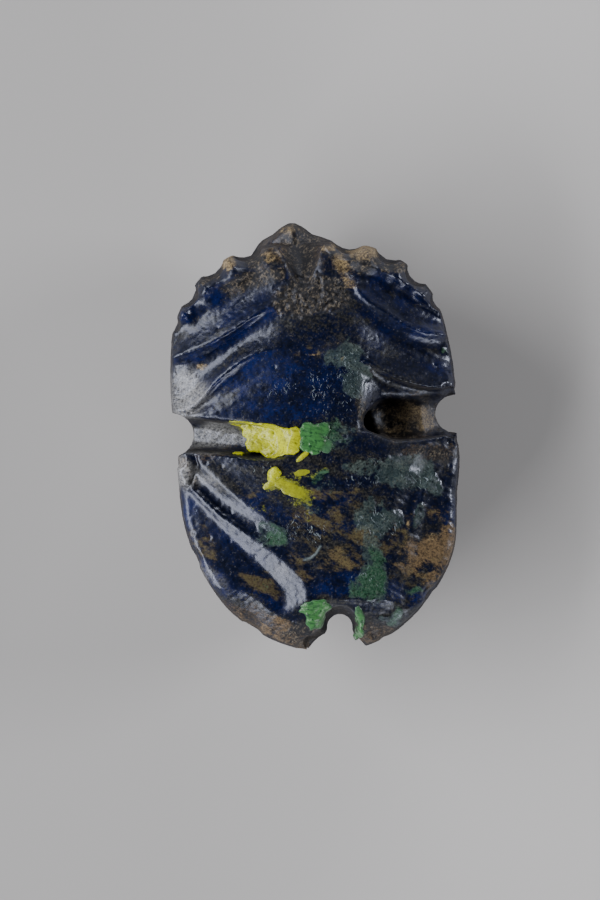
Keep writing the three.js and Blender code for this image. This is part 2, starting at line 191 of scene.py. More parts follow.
def radius_at(radii, angle):
    """A smooth closed outline from radii at equal angles."""
    radii = np.asarray(radii)
    place = (angle / (2 * np.pi)) % 1 * len(radii)
    k = np.floor(place).astype(int)
    t = place - k
    a, b, c, d = [radii[(k + step) % len(radii)] for step in (-1, 0, 1, 2)]
    return b + 0.5 * t * (c - a + t * (2 * a - 5 * b + 4 * c - d + t * (3 * (b - c) + d - a)))


def share_at(x, y):
    return np.hypot(x, y) / radius_at(BODY_RADII, np.arctan2(y, x))


def line_at(points, x):
    """Height y of a line at x: a smooth curve through its points."""
    px, py = np.array(points, float).T
    slope = np.gradient(py)
    slope[1:-1] = (py[2:] - py[:-2]) / (px[2:] - px[:-2])
    slope[0] = (py[1] - py[0]) / (px[1] - px[0])
    slope[-1] = (py[-1] - py[-2]) / (px[-1] - px[-2])
    k = np.clip(np.searchsorted(px, x, side="right") - 1, 0, len(px) - 2)
    run = px[k + 1] - px[k]
    t = (x - px[k]) / run
    bend = run * t * (1 - t) * ((1 - t) * slope[k] - t * slope[k + 1])
    return py[k] + (py[k + 1] - py[k]) * t * t * (3 - 2 * t) + bend


def smooth_path(points, steps=4):
    """Rounds a path of a few points."""
    padded = np.array([points[0], *points, points[-1]], float)
    path = []
    for k in range(len(points) - 1):
        a, b, c, d = padded[k:k + 4]
        for t in np.arange(steps) / steps:
            path.append(b + 0.5 * t * (c - a + t * (2 * a - 5 * b + 4 * c - d + t * (3 * (b - c) + d - a))))
    return np.array(path + [padded[-1]])


def beside(path, x, y):
    """Signed distance from a path, positive on its left, the run along it, and its whole length."""
    nearest = np.full(np.shape(x), 1e9)
    run = np.zeros(np.shape(x))
    length = 0.0
    for (ax, ay), (bx, by) in zip(path[:-1], path[1:]):
        span = math.hypot(bx - ax, by - ay)
        ux, uy = (bx - ax) / span, (by - ay) / span
        t = np.clip((x - ax) * ux + (y - ay) * uy, 0, span)
        dx, dy = x - ax - t * ux, y - ay - t * uy
        distance = np.hypot(dx, dy)
        closer = distance < np.abs(nearest)
        nearest = np.where(closer, np.where(ux * dy - uy * dx < 0, -distance, distance), nearest)
        run = np.where(closer, length + t, run)
        length += span
    return nearest, run, length


def saw(s, lean):
    """From a crest the surface drops into a hollow and climbs to the next crest."""
    start = CREST_ROUNDING ** lean
    bent = ((np.clip(s, 0, 1) + CREST_ROUNDING) ** lean - start) / ((1 + CREST_ROUNDING) ** lean - start)
    return -np.sin(np.pi * bent)


def crown_at(x, y):
    front = FRONT_FALL * np.maximum(0, y - FRONT_FALL_START) ** 2
    rear = REAR_SLOPE * np.maximum(0, -1 - y)
    return CROWN_HEIGHT - SIDE_FALL * np.abs(x / 7) ** 2.2 - front - rear


def front_relief(x, y):
    """Fore and middle legs: three bands between the channel and the teeth."""
    fade = 0.12 + 0.88 * ease(0.4, 4.0, np.abs(x - 0.5))
    foot, front, lens, lip = [line_at(line, x) for line in (TEETH_FOOT, FRONT_CREST, LENS_CREST, UPPER_LIP)]
    teeth = TEETH_FLUTE[0] * fade * saw((foot - y) / (foot - front), TEETH_FLUTE[1])
    middle = FRONT_FLUTE[0] * fade * saw((front - y) / (front - lens), FRONT_FLUTE[1])
    s = np.clip((lens - y) / (lens - lip), 0, 1)
    swell = LENS_FLUTE[0] * fade * saw(s, LENS_FLUTE[1]) * (1 - 0.75 * s)
    swell = swell - 0.95 * s * ease(2.2, 3.6, x) - 0.12 * ease(0.75, 1, s)
    return np.select([y > foot, y > front, y > lens], [0 * x, teeth, middle], swell)


def channel_relief(x, y):
    """The channel round the waist, open at both sides and bridged in the middle."""
    upper, lower = line_at(UPPER_LIP, x), line_at(LOWER_LIP, x)
    across = np.clip((y - lower) / (upper - lower), 0, 1) * 2 - 1
    floor_left = LEFT_FLOOR["height"] + LEFT_FLOOR["slope"] * (x - LEFT_FLOOR["x"])
    floor_right = RIGHT_FLOOR["height"] + RIGHT_FLOOR["slope"] * np.minimum(x - RIGHT_FLOOR["x"], 2.3)
    floor_right = floor_right - RIGHT_FLOOR["fall"] * np.maximum(0, x - RIGHT_FLOOR["crest"])
    left = (1 - ease(*CHANNEL_LEFT, x)) * (crown_at(x, y) - floor_left)
    right = ease(*CHANNEL_RIGHT, x) * (crown_at(x, y) - floor_right)
    return -(left + right) * (1 - across ** 4)


def leg_relief(shin, leg, inward, x, y):
    """A hind leg: a crest with a flat facet outside it and a narrow hollow and a fading rib inside it."""
    strength, facets, hollows = leg
    distance, run, length = beside(smooth_path(shin), x, y)
    inside = distance * inward
    past = inside - LEG_RIB_WIDTH
    beyond = -0.1 * ease(0, 0.6, past) * (1 - ease(0.6, 1.8, past))
    rib = np.where(past > 0, beyond, LEG_RIB_DEPTH * saw(inside / LEG_RIB_WIDTH, 0.6))
    rib = rib * (1 - 0.85 * ease(0.2, 0.75, run / length))
    along = ease(0.5, 0.85 * length, run)
    facet = facets[0] + (facets[1] - facets[0]) * along
    hollow = hollows[0] + (hollows[1] - hollows[0]) * along
    out = -inside
    climb = 1 - np.clip((out - facet) / hollow, 0, 1) ** 1.1
    fall = -(LEG_FACET_DROP + LEG_FACET_SLOPE * facet) * np.where(out < facet, out / facet, climb)
    return strength * ease(0, 0.9, run) * np.where(inside >= 0, rib, fall)


def hind_relief(x, y):
    left = leg_relief(LEFT_SHIN, LEFT_LEG, 1, x, y) * (1 - ease(-0.6, 1.4, x))
    return left + leg_relief(RIGHT_SHIN, RIGHT_LEG, -1, x, y) * ease(0.2, 1.8, x)


def rear_height(x, y):
    line = line_at(REAR_LINE, x)
    behind = line - y
    shoulder = -0.4 * bell(np.hypot((x - 5.6) / 1.5, (y + 1.25) / 0.6), 1)
    top = crown_at(x, y) + hind_relief(x, y) * (1 - ease(0.2, 1.2, behind)) + shoulder
    bevel = crown_at(x, line) - TAIL_STEP - TAIL_SLOPE * behind
    return np.where(behind > 0, np.minimum(top, bevel), top)


def scoops(x, y):
    """Each scallop between two teeth runs on inwards as a shallow scoop."""
    deepest = np.zeros(np.shape(x))
    for cx, cy, radius in SCALLOPS:
        depth = 1.1 * (radius - 0.2)
        fade = ease(radius + SCOOP_REACH[0], radius + SCOOP_REACH[1], np.hypot(x - cx, y - cy))
        deepest = np.maximum(deepest, depth * (1 - fade))
    return deepest


def face_height(x, y):
    """Height of the carved underside, before the teeth, notches and holes are cut."""
    upper = line_at(UPPER_LIP, x)
    rounded = np.clip((share_at(x, y) - RIM_START) / 0.055, 0, 1) ** 1.5
    rim = (0.12 + 0.1 * ease(0, -3, y)) * rounded + scoops(x, y)
    front = crown_at(x, y) + front_relief(x, y)
    channel = crown_at(x, y) + channel_relief(x, y) + front_relief(x, upper)
    knuckles = spots_at(KNUCKLES, x, y, 0.7)
    bands = [y > upper, y < line_at(LOWER_LIP, x)]
    return np.select(bands, [front, rear_height(x, y)], channel) - rim + knuckles


def dome_height(share):
    k = np.clip((share - FLAT_SHARE) / (1 - FLAT_SHARE), 0, 1)
    return GIRTH_HEIGHT * (1 - np.sqrt(1 - k * k))


# ------------------------------------------------------------------ noise
def lattice(cells, seed):
    """A repeatable random number from -1 to 1 for each whole-numbered cell."""
    x, y, z = cells[..., 0], cells[..., 1], cells[..., 2]
    n = x * 374761393 + y * 668265263 + z * 2147483647 + seed * 1274126177
    n = (n ^ (n >> 13)) * 1274126177 & 0x7FFFFFFF
    n = (n ^ (n >> 15)) * 2246822519 & 0x7FFFFFFF
    return ((n ^ (n >> 11)) & 0xFFFFFF) / 0x7FFFFF - 1.0


def noise(points, size, seed=0):
    """Smooth noise from about -1 to 1, with features of the given size."""
    place = points / size + seed * 17.31
    cell = np.floor(place).astype(np.int64)
    t = place - cell
    t = t * t * (3 - 2 * t)
    total = 0
    for corner in np.ndindex(2, 2, 2):
        weight = np.prod([t[..., k] if corner[k] else 1 - t[..., k] for k in range(3)], axis=0)
        total = total + weight * lattice(cell + np.array(corner), seed)
    return total


def fractal(points, size, octaves=3, seed=0):
    total = sum(noise(points, size / 2 ** k, seed + k) / 2 ** k for k in range(octaves))
    return total / (2 - 2 ** (1 - octaves))


def cells(points, size, seed=0):
    """Distance to the nearest of scattered points, in sizes, and a random number for that point."""
    place = points / size
    cell = np.floor(place).astype(np.int64)
    best = np.full(place.shape[:-1], 9.0)
    tone = np.zeros(place.shape[:-1])
    for step in np.ndindex(3, 3, 3):
        near = cell + np.array(step) - 1
        centre = near + 0.5 + 0.45 * np.stack([lattice(near, seed + k) for k in range(3)], axis=-1)
        distance = np.linalg.norm(place - centre, axis=-1)
        tone = np.where(distance < best, lattice(near, seed + 7), tone)
        best = np.minimum(best, distance)
    return best, tone


# ------------------------------------------------------------------ mesh helpers
def select_only(obj):
    bpy.ops.object.select_all(action="DESELECT")
    obj.select_set(True)
    bpy.context.view_layer.objects.active = obj


def coordinates(mesh):
    co = np.empty(len(mesh.vertices) * 3, np.float32)
    mesh.vertices.foreach_get("co", co)
    return co.reshape(-1, 3).astype(float)


def vertex_normals(mesh):
    normals = np.empty(len(mesh.vertices) * 3, np.float32)
    mesh.vertices.foreach_get("normal", normals)
    return normals.reshape(-1, 3).astype(float)


def set_coordinates(mesh, co):
    mesh.vertices.foreach_set("co", np.asarray(co, np.float32).ravel())
    mesh.update()


def apply_modifier(obj, kind, **settings):
    select_only(obj)
    modifier = obj.modifiers.new(kind.lower(), kind)
    for key, value in settings.items():
        setattr(modifier, key, value)
    bpy.ops.object.modifier_apply(modifier=modifier.name)


def store(mesh, name, values):
    layer = mesh.attributes.new(name, "FLOAT", "POINT")
    layer.data.foreach_set("value", np.asarray(values, np.float32))


def cutter(start, end, start_radius, end_radius, sides=40):
    """A round cutter between two points."""
    a, b = Vector(start), Vector(end)
    bpy.ops.object.select_all(action="DESELECT")
    bpy.ops.mesh.primitive_cone_add(vertices=sides, radius1=start_radius, radius2=end_radius,
                                    depth=(b - a).length, location=(a + b) / 2,
                                    rotation=(b - a).to_track_quat("Z", "Y").to_euler())
    bpy.ops.object.transform_apply(location=True, rotation=True, scale=True)
    return bpy.context.object


def stretched_ball(radii, centre, segments, rings, shape):
    """A ball whose rings are moved to the shape(direction down from the top, angle) that a formula gives."""
    bpy.ops.object.select_all(action="DESELECT")
    bpy.ops.mesh.primitive_uv_sphere_add(segments=segments, ring_count=rings, radius=1)
    ball = bpy.context.object
    apply_modifier(ball, "SUBSURF", subdivision_type="SIMPLE", levels=2, render_levels=2)
    co = coordinates(ball.data)
    down = np.arccos(np.clip(co[:, 2] / np.linalg.norm(co, axis=1), -1, 1)) / np.pi
    angle = np.arctan2(co[:, 1], co[:, 0])
    reach = radius_at(radii, angle)
    direction = np.stack([np.cos(angle) * reach, np.sin(angle) * reach], axis=-1)
    share, height = shape(down, direction)
    set_coordinates(ball.data, np.column_stack([direction * share[:, None] + np.array(centre), height]))
    return ball


# ------------------------------------------------------------------ the stone
def body_shape(down, direction):
    """The carved face on top, then the side wall, then the domed back with its worn flat."""
    face_end, wall_end = 0.6, 0.7
    share = np.interp(down, [0, face_end, wall_end, 1], [0, RIM_SHARE, 1, 0])
    wall = np.clip((down - face_end) / (wall_end - face_end), 0, 1)
    share = np.where((wall > 0) & (wall < 1), RIM_SHARE + (1 - RIM_SHARE) * np.sin(wall * np.pi / 2), share)
    x, y = (direction * np.minimum(share, RIM_SHARE)[:, None]).T
    face = face_height(x, y)
    back = np.clip((down - wall_end) / (1 - wall_end), 0, 1)
    back_share = np.cos(back * np.pi / 2)
    share = np.where(down > wall_end, back_share, share)
    height = np.where(down < wall_end, face + (GIRTH_HEIGHT - face) * wall, dome_height(share))
    return share, height


def head_shape(down, direction):
    """A low ridged wedge with a rounded underside."""
    share = np.interp(down, [0, 0.45, 0.52, 0.62, 0.8, 1], [0, 0.9, 0.97, 1, 0.78, 0])
    height = np.interp(down, [0, 0.45, 0.52, 0.62, 0.8, 1], [0, 0, 0, 3.7, 2.3, 1.9])
    x, y = (direction * share[:, None]).T
    y = y + HEAD_CENTRE[1]
    ridge = 5.25 - np.where(x < 0, -0.55 * x, 0.46 * x) - 0.55 * np.maximum(0, y - 10.15)
    bevel = 0.5 * np.clip((share - 0.86) / 0.11, 0, 1)
    top = down < 0.53
    blend = np.clip((down - 0.53) / 0.09, 0, 1)
    side = (1 - blend) * (ridge - 0.5) + blend * 3.7
    return share, np.where(top, ridge - bevel, np.where(down < 0.62, side, height))


def scallop_cutters():
    for x, y, radius in SCALLOPS:
        reach = math.hypot(x, y)
        low, high = [(x + SCALLOP_LEAN * (GIRTH_HEIGHT - z) * x / reach,
                      y + SCALLOP_LEAN * (GIRTH_HEIGHT - z) * y / reach, z) for z in (0.5, 9)]
        yield cutter(low, high, radius, radius)


def carve_cutters():
    tools = list(scallop_cutters())
    tools.append(cutter((0.1, 7.1, 7.5), (0.1, 10.4, 6.3), 0.12, 1.55))
    for x, y, radius in SIDE_NOTCHES:
        tools.append(cutter((x, y, -1), (x, y, 9.5), radius, radius))
    for mouth in DRILL_MOUTHS:
        tools.append(cutter(DRILL_MEETING, mouth, DRILL_RADIUS, DRILL_RADIUS))
    for x, y, radius in TAIL_NOTCH:
        tools.append(cutter((x, y, -1), (x, y, 5.0), radius, radius))
        tools.append(cutter((x, y, 4.6), (x, y, 9.5), radius, radius + 0.19 * 4.9))
    return tools


def cut(obj, tools):
    shelf = bpy.data.collections.new("cutters")
    bpy.context.scene.collection.children.link(shelf)
    for tool in tools:
        for home in list(tool.users_collection):
            home.objects.unlink(tool)
        shelf.objects.link(tool)
    apply_modifier(obj, "BOOLEAN", operation="DIFFERENCE", operand_type="COLLECTION", collection=shelf,
                   solver="MANIFOLD")
    for tool in tools:
        bpy.data.objects.remove(tool)
    bpy.data.collections.remove(shelf)


def join(parts):
    bpy.ops.object.select_all(action="DESELECT")
    for part in parts:
        part.select_set(True)
    bpy.context.view_layer.objects.active = parts[0]
    bpy.ops.object.join()
    return parts[0]


def carved_blank(voxel):
    body = stretched_ball(BODY_RADII, (0, 0), 180, 105, body_shape)
    cut(body, carve_cutters())
    head = stretched_ball(HEAD_RADII, HEAD_CENTRE, 48, 36, head_shape)
    stone = join([body, head])
    apply_modifier(stone, "REMESH", mode="VOXEL", voxel_size=voxel, adaptivity=0.0)
    return stone


# ------------------------------------------------------------------ wear and relief of the carved face
# Soft-edged spots: x, y, half length, half width, turn in degrees, strength.
ROUGH_SPOTS = ((0.5, 6.9, 1.9, 0.95, 5, 1.0), (-0.1, 7.6, 0.7, 0.5, 0, 0.7))
KNEE = ((-6.45, -1.15, 0.35, 0.75, 10, 0.22),)
KNEE_CRACK = ((-6.0, -0.3), (-5.92, -0.95), (-6.4, -1.9))
RIM_CHIPS = (
    (-3.9, -8.9, 0.55, 0.3, -55, 0.22), (-6.3, -5.4, 0.4, 0.2, -70, 0.12),
    (4.9, -8.0, 0.45, 0.25, 50, 0.16), (-1.2, -10.1, 0.5, 0.3, 10, 0.25), (2.2, -9.9, 0.5, 0.25, 0, 0.2),
    (6.7, -0.7, 0.3, 0.35, 0, 0.2), (-6.7, -0.6, 0.3, 0.3, 0, 0.18), (6.75, 1.7, 0.3, 0.3, 0, 0.14),
    (-0.75, 7.0, 0.4, 0.3, 0, 0.12),
)
FIBRE = ((-1.05, -5.95), (-0.75, -5.9), (-0.45, -5.7), (-0.2, -5.35))


def wandered(co, amount, size, seed):
    """Plan coordinates pushed about a little, which gives spots and marks ragged edges."""
    x = co[:, 0] + amount * fractal(co, size, 3, seed)
    y = co[:, 1] + amount * fractal(co, size, 3, seed + 5)
    return x, y


def line_mark(path, x, y, width):
    return bell(beside(np.array(path), x, y)[0], width)


def scratches(co, heading, length, width, seed):
    """Fine streaks running in one direction."""
    turn = math.radians(heading)
    along = co[:, 0] * math.cos(turn) + co[:, 1] * math.sin(turn)
    across = co[:, 1] * math.cos(turn) - co[:, 0] * math.sin(turn)
    return noise(np.column_stack([along / length, across / width, co[:, 2] * 0.5]), 1.0, seed)


def back_lines(co):
    """Depth of the lines on the domed back: one across behind the head, one between the wing cases."""
    width, depth, collar, bow, fore, aft = BACK_LINES
    x, y = co[:, 0], co[:, 1]
    across = np.abs(y - collar + bow * (x / 6) ** 2) + ease(5.6, 6.4, np.abs(x))
    between = ((y > fore[0]) & (y < fore[1])) | ((y > aft[0]) & (y < aft[1]))
    along = np.where(between, np.abs(x), 9)
    round_cut = np.sqrt(np.clip(1 - (np.minimum(across, along) / width) ** 2, 0, 1))
    return depth * round_cut * (co[:, 2] < GIRTH_HEIGHT)


def weather(stone, sizes):
    """Moves the skin of the stone in and out: hand carving, knuckled teeth, breaks, chips and grain."""
    mesh = stone.data
    co = coordinates(mesh)
    normals = vertex_normals(mesh)
    upward = ease(0.25, 0.7, normals[:, 2])
    x, y = wandered(co, 0.12, 0.7, 11)
    share = share_at(co[:, 0], co[:, 1])
    rim = ease(0.86, 0.97, share) * ease(3.2, 4.8, co[:, 2])
    shift = sizes.unevenness * (fractal(co, 1.3, 3, 1) + 0.25 * noise(co, 0.22, 9))
    shift += sizes.grain * (noise(co, 0.15, 2) + noise(co, 0.3, 3))
    film = spots_at(FILM_SPOTS, *wandered(co, *FILM_WANDER), 0.45)
    shift += upward * 0.03 * ease(0.4, 0.6, film + 0.35 * fractal(co, 0.3, 3, 8))
    heading = np.where(co[:, 0] < 0, 1.0, 0.0)
    streaks = heading * scratches(co, 33, 1.6, 0.16, 4) + (1 - heading) * scratches(co, -36, 1.6, 0.16, 6)
    shift += upward * sizes.streaks * streaks * (0.4 + 0.6 * ease(1.5, 4, np.abs(co[:, 0])))
    rough = spots_at(ROUGH_SPOTS, x, y)
    _, tone = cells(co, 0.2, 12)
    shift += upward * rough * sizes.roughness * (0.45 * tone - 0.9 + 0.9 * fractal(co, 0.5, 4, 13))
    shift += upward * (spots_at(KNEE, x, y) - 0.16 * line_mark(KNEE_CRACK, x, y, 0.11))
    shift -= spots_at(RIM_CHIPS, x, y) * ease(0.2, 1.0, rim + upward * 0.5)
    _, tone = cells(co, 0.6, 14)
    chipped = ease(0.2, 0.75, fractal(co, 1.1, 2, 15)) * rim
    shift -= chipped * 0.09 * (0.5 + 0.5 * tone)
    pits, chance = cells(co, 0.55, 16)
    shift -= 0.05 * (1 - ease(0.0, 0.28, pits)) * ease(0.35, 0.6, chance)
    shift += upward * 0.03 * line_mark(FIBRE, co[:, 0], co[:, 1], 0.05)
    shift -= back_lines(co) * ease(0.0, 0.3, -normals[:, 2])
    set_coordinates(mesh, co + normals * shift[:, None])


def rub_smooth(stone):
    """Rounds what was cut, as handling does: the face most of all, its outer edge less."""
    co = coordinates(stone.data)
    share = share_at(co[:, 0], co[:, 1])
    face = (co[:, 2] > 5.2) & (share < 0.9)
    edge = (co[:, 2] > 3.4) & (share >= 0.9)
    head = (co[:, 2] < 5.3) & (co[:, 2] > 3.0) & (co[:, 1] > 8.8)
    for name, members, rounds in (("face", face, 20), ("edge", edge, 4), ("head", head, 12)):
        group = stone.vertex_groups.new(name=name)
        group.add(np.nonzero(members)[0].tolist(), 1.0, "REPLACE")
        apply_modifier(stone, "SMOOTH", factor=0.5, iterations=rounds, vertex_group=name)
    stone.vertex_groups.clear()


def keep_in_box(mesh):
    """The finished piece keeps to the same box as the plain solid."""
    co = coordinates(mesh)
    low, high = [np.array(corner) / MM for corner in cad_box]
    co = np.clip(co - np.array([*OFFSET, 0]), low, high)
    set_coordinates(mesh, co)


def thin_out(stone, budget):
    """Fewer faces on the plain back, most on the carved face."""
    co = coordinates(stone.data)
    carved = ease(3.6, 5.0, co[:, 2])
    group = stone.vertex_groups.new(name="carved")
    levels = np.round(carved * 4).astype(int)
    for level in range(5):
        members = np.nonzero(levels == level)[0].tolist()
        if members:
            group.add(members, level / 4, "REPLACE")
    triangles = 2 * len(stone.data.polygons)
    apply_modifier(stone, "DECIMATE", ratio=budget / triangles, vertex_group="carved",
                   invert_vertex_group=True, vertex_group_factor=1.6, use_collapse_triangulate=True)
    stone.vertex_groups.clear()


# ------------------------------------------------------------------ where the stone changes colour
MATRIX_SPOTS = (
    (0.9, 5.6, 2.6, 1.0, 0, 0.75), (1.6, 4.4, 1.6, 0.9, 10, 0.6), (-0.4, 5.0, 2.0, 0.5, 15, 0.5),
    (0.3, -1.4, 6.4, 0.75, 0, 0.85), (-2.2, -2.4, 2.6, 0.9, -20, 0.7), (1.6, -2.9, 2.2, 1.0, 0, 0.55),
    (0.3, -5.2, 2.2, 1.6, 0, 0.85), (-1.4, -3.2, 1.5, 1.0, -20, 0.8), (2.4, -3.6, 1.6, 1.0, 10, 0.9),
    (-0.2, -8.3, 1.8, 0.5, 0, 0.9), (5.6, -1.5, 1.7, 0.9, 0, 0.95), (-5.6, 5.9, 1.3, 0.5, 40, 0.55),
    (-4.9, 4.9, 1.6, 0.5, 30, 0.45), (-4.5, 2.4, 1.5, 0.6, 20, 0.55), (4.2, 2.3, 2.6, 0.6, -28, 0.75),
    (3.6, 4.0, 1.2, 0.7, -35, 0.6), (0.2, 0.2, 2.6, 0.9, 0, 0.8), (-4.9, 0.4, 1.9, 0.9, 0, 1.0),
    (4.6, 0.3, 2.2, 1.2, 0, 1.0), (5.0, -6.2, 2.2, 2.2, 20, 0.9), (3.3, -3.0, 1.4, 1.1, 0, 0.7),
    (-5.0, -1.6, 1.9, 0.8, -35, 0.8), (4.8, 6.4, 1.3, 0.35, -30, 0.4), (5.4, 3.9, 1.6, 0.25, -25, 0.55),
    (-1.9, -3.9, 1.4, 0.7, -40, 0.5), (-3.4, 4.4, 1.3, 0.35, 28, 0.4), (-3.0, 7.7, 1.4, 0.45, 20, 0.8),
    (4.2, 7.0, 1.6, 0.5, -40, 0.35), (1.7, 6.6, 0.9, 1.3, 10, 0.9), (-6.4, 2.9, 0.6, 1.5, 0, 0.6),
    (0.2, 9.5, 3.0, 1.2, 0, 1.0), (2.3, -9.5, 2.6, 1.0, 30, 1.0), (-3.6, -8.9, 3.4, 1.0, -33, 1.0),
    (-1.2, -9.6, 1.2, 0.9, 0, 1.0), (4.5, -8.6, 1.6, 0.5, 40, 0.7),
)
BLUE_SPOTS = (
    (-2.6, 3.0, 2.6, 1.0, 12, 0.9), (-2.2, 1.6, 2.6, 0.6, -6, 0.8), (-4.2, 7.0, 2.2, 0.5, 22, 0.55),
    (-3.4, 5.4, 2.2, 0.4, 25, 0.8), (-3.6, 6.2, 2.0, 0.3, 22, 0.5), (-5.6, -6.4, 1.1, 0.5, -45, 1.0),
    (4.0, 6.9, 1.8, 0.7, -30, 0.8), (5.6, 5.0, 1.5, 0.6, -30, 0.7), (6.3, 2.9, 0.9, 0.5, -30, 0.9),
    (4.0, -7.9, 1.1, 0.7, 20, 0.9), (0.5, -7.3, 1.0, 0.5, 0, 0.8), (-2.3, -3.3, 1.3, 0.6, -20, 0.55),
    (6.3, -4.4, 0.4, 0.8, 0, 0.7), (-6.3, -3.4, 0.45, 1.2, 15, 0.8), (-3.4, -7.8, 1.4, 0.35, -25, 0.8),
    (0.2, -3.2, 1.4, 0.5, 0, 0.5), (3.0, 5.0, 1.6, 0.7, -35, 0.5), (-1.1, 1.4, 0.9, 0.8, 0, 0.8),
    (0.6, 3.2, 1.6, 1.0, 0, 0.5), (-2.9, -7.2, 1.2, 0.3, -45, 0.4), (1.0, -4.6, 1.0, 0.4, 0, 0.4),
    (-4.5, -4.9, 1.4, 0.6, -45, 0.5),
)
BROWN_SPOTS = (
    (0.4, 6.9, 1.9, 1.0, 0, 0.9), (-2.9, 8.0, 1.6, 0.5, 20, 0.7), (0.1, 8.7, 1.0, 1.3, 0, 1.0),
    (4.5, 0.4, 1.9, 1.1, 0, 1.0), (5.4, -1.3, 1.7, 0.55, 0, 0.8), (0.0, 9.8, 2.6, 1.3, 0, 0.9),
    (-3.4, -9.3, 3.0, 0.75, -33, 1.0), (-1.2, -10.0, 1.0, 0.6, 0, 1.0), (2.2, -9.9, 1.2, 0.5, 0, 1.0),
    (-4.6, -0.3, 1.9, 0.3, 3, 0.7), (2.9, 9.0, 1.2, 0.7, 0, 0.8), (3.3, 1.8, 2.6, 0.25, -5, 0.6),
)
TAN_SPOTS = (
    (-3.2, -9.2, 0.8, 0.3, -30, 0.8), (-1.3, -10.2, 0.9, 0.5, 0, 1.0), (2.2, -10.0, 0.9, 0.4, 0, 1.0),
    (5.1, -6.0, 1.5, 0.8, 12, 1.0), (5.6, -7.0, 0.9, 0.5, 30, 0.7), (0.9, -6.2, 1.1, 0.6, 0, 0.55),
    (-1.7, -9.9, 1.3, 0.45, -10, 0.9), (-4.4, -8.7, 0.9, 0.3, -45, 0.8), (2.2, -9.95, 0.7, 0.25, 0, 0.9),
    (5.4, -3.9, 0.9, 0.5, 0, 0.35), (6.1, -5.4, 0.5, 0.8, 0, 0.8), (4.6, 0.6, 0.9, 0.6, 0, 0.45),
    (-2.5, -9.2, 1.4, 0.5, -20, 0.5),
)
OLIVE_SPOTS = (
    (-0.6, -3.9, 1.2, 0.5, -20, 0.7), (1.8, -5.2, 1.0, 0.7, 0, 0.7), (-1.2, -6.3, 0.8, 0.4, -30, 0.7),
    (0.3, -2.9, 1.3, 0.4, 0, 0.6), (3.2, -5.4, 0.4, 1.0, -25, 0.6), (-5.9, -4.8, 0.4, 0.9, 15, 0.6),
    (-2.9, -2.7, 0.7, 0.25, -10, 0.6), (5.3, -3.6, 0.7, 0.4, -30, 0.5), (-3.3, -6.95, 1.15, 0.42, -30, 1.0),
    (1.0, -6.2, 1.0, 0.65, 0, 0.8), (0.2, -4.2, 1.1, 0.7, 0, 0.75), (1.4, -3.2, 1.2, 0.6, 0, 0.5),
    (4.5, -6.9, 1.2, 0.8, 20, 0.4), (-0.9, -5.4, 0.9, 0.5, 0, 0.5), (3.9, -5.2, 0.3, 1.2, -25, 0.6),
    (-0.2, 4.0, 1.0, 0.25, 5, 0.4),
)
# Cream: pale worn stone on the teeth, and painted highlights on the teeth's left flanks, the tip of the
# head, the knee and the lit floor of the right channel.
CREAM_AND_HIGHLIGHT_SPOTS = (
    (-3.5, 8.95, 0.42, 0.5, 0, 0.9), (-1.3, 9.1, 0.75, 0.35, 15, 0.6), (2.0, 8.3, 0.45, 0.7, 20, 0.8),
    (3.1, 8.9, 0.85, 0.45, -5, 0.9), (-5.25, 3.95, 0.3, 0.22, 0, 0.9), (1.45, 9.2, 0.45, 0.2, 0, 0.8),
    (2.3, 7.5, 0.35, 0.6, 30, 0.6), (-0.35, 10.25, 0.5, 0.3, 0, 0.6), (4.9, 8.1, 0.4, 0.25, -20, 0.4),
    (0.4, 4.05, 0.35, 0.1, 5, 0.8), (1.7, 3.7, 0.12, 0.16, 0, 1.0), (4.2, -4.6, 0.12, 0.12, 0, 0.9),
    (-6.6, -0.75, 0.4, 0.5, 0, 0.6), (-6.2, -1.5, 0.2, 0.6, 15, 0.5), (4.8, 0.7, 0.9, 0.5, 0, 0.9),
    (5.5, 0.2, 0.5, 0.4, 0, 0.8), (4.0, 1.0, 0.6, 0.2, 20, 0.6), (4.3, 0.0, 0.9, 0.25, 0, 0.6),
    (5.2, -5.4, 0.5, 0.25, 10, 0.5),
)
# How far the film's outline wanders, the size of its waves and the seed.
FILM_WANDER = (0.55, 0.75, 41)
FILM_SPOTS = (
    (1.9, 3.9, 0.9, 0.7, 0, 0.8), (2.3, 2.7, 0.8, 0.9, 0, 0.8), (4.2, -2.2, 1.5, 0.9, -10, 0.9),
    (2.6, -4.3, 1.1, 0.8, 0, 0.8), (2.3, -5.8, 0.7, 1.1, 0, 0.7), (2.2, -7.3, 0.95, 0.9, 20, 0.9),
    (5.5, -2.9, 0.35, 0.6, -10, 0.8), (2.4, -1.6, 1.3, 0.5, 10, 0.6), (-2.5, -4.6, 0.65, 0.55, -30, 0.9),
    (6.7, 3.8, 0.18, 0.18, 0, 0.9), (2.05, 2.35, 0.16, 0.2, 0, 1.0), (1.2, 0.1, 0.8, 0.7, 0, 0.5),
    (4.2, -7.95, 0.35, 0.25, 20, 0.7), (2.9, -9.2, 0.5, 0.4, 30, 0.8), (4.6, -4.4, 0.3, 0.8, -30, 0.6),
    (0.2, -2.4, 0.9, 0.4, 0, 0.4), (-0.7, -3.5, 0.8, 0.4, -40, 0.5),
)
SCUFF_SPOTS = (
    (-1.4, 2.5, 1.1, 0.45, 0, 0.75), (0.5, 2.2, 0.8, 1.3, 0, 0.8), (2.0, 3.2, 0.8, 1.3, 0, 0.7),
    (-2.9, -1.35, 0.7, 0.3, 0, 0.7), (2.6, -1.9, 1.6, 0.9, 0, 0.6), (-0.9, -4.6, 1.3, 0.9, 30, 0.6),
    (4.9, -2.7, 1.1, 0.7, 0, 0.8), (2.6, -4.6, 1.1, 1.0, 0, 0.7), (1.9, 1.3, 1.0, 0.7, 60, 0.7),
    (2.2, -7.2, 1.1, 0.9, 0, 0.5), (-2.6, -4.6, 0.7, 0.5, 0, 0.6), (-5.4, -3.4, 1.2, 0.6, 0, 0.35),
)
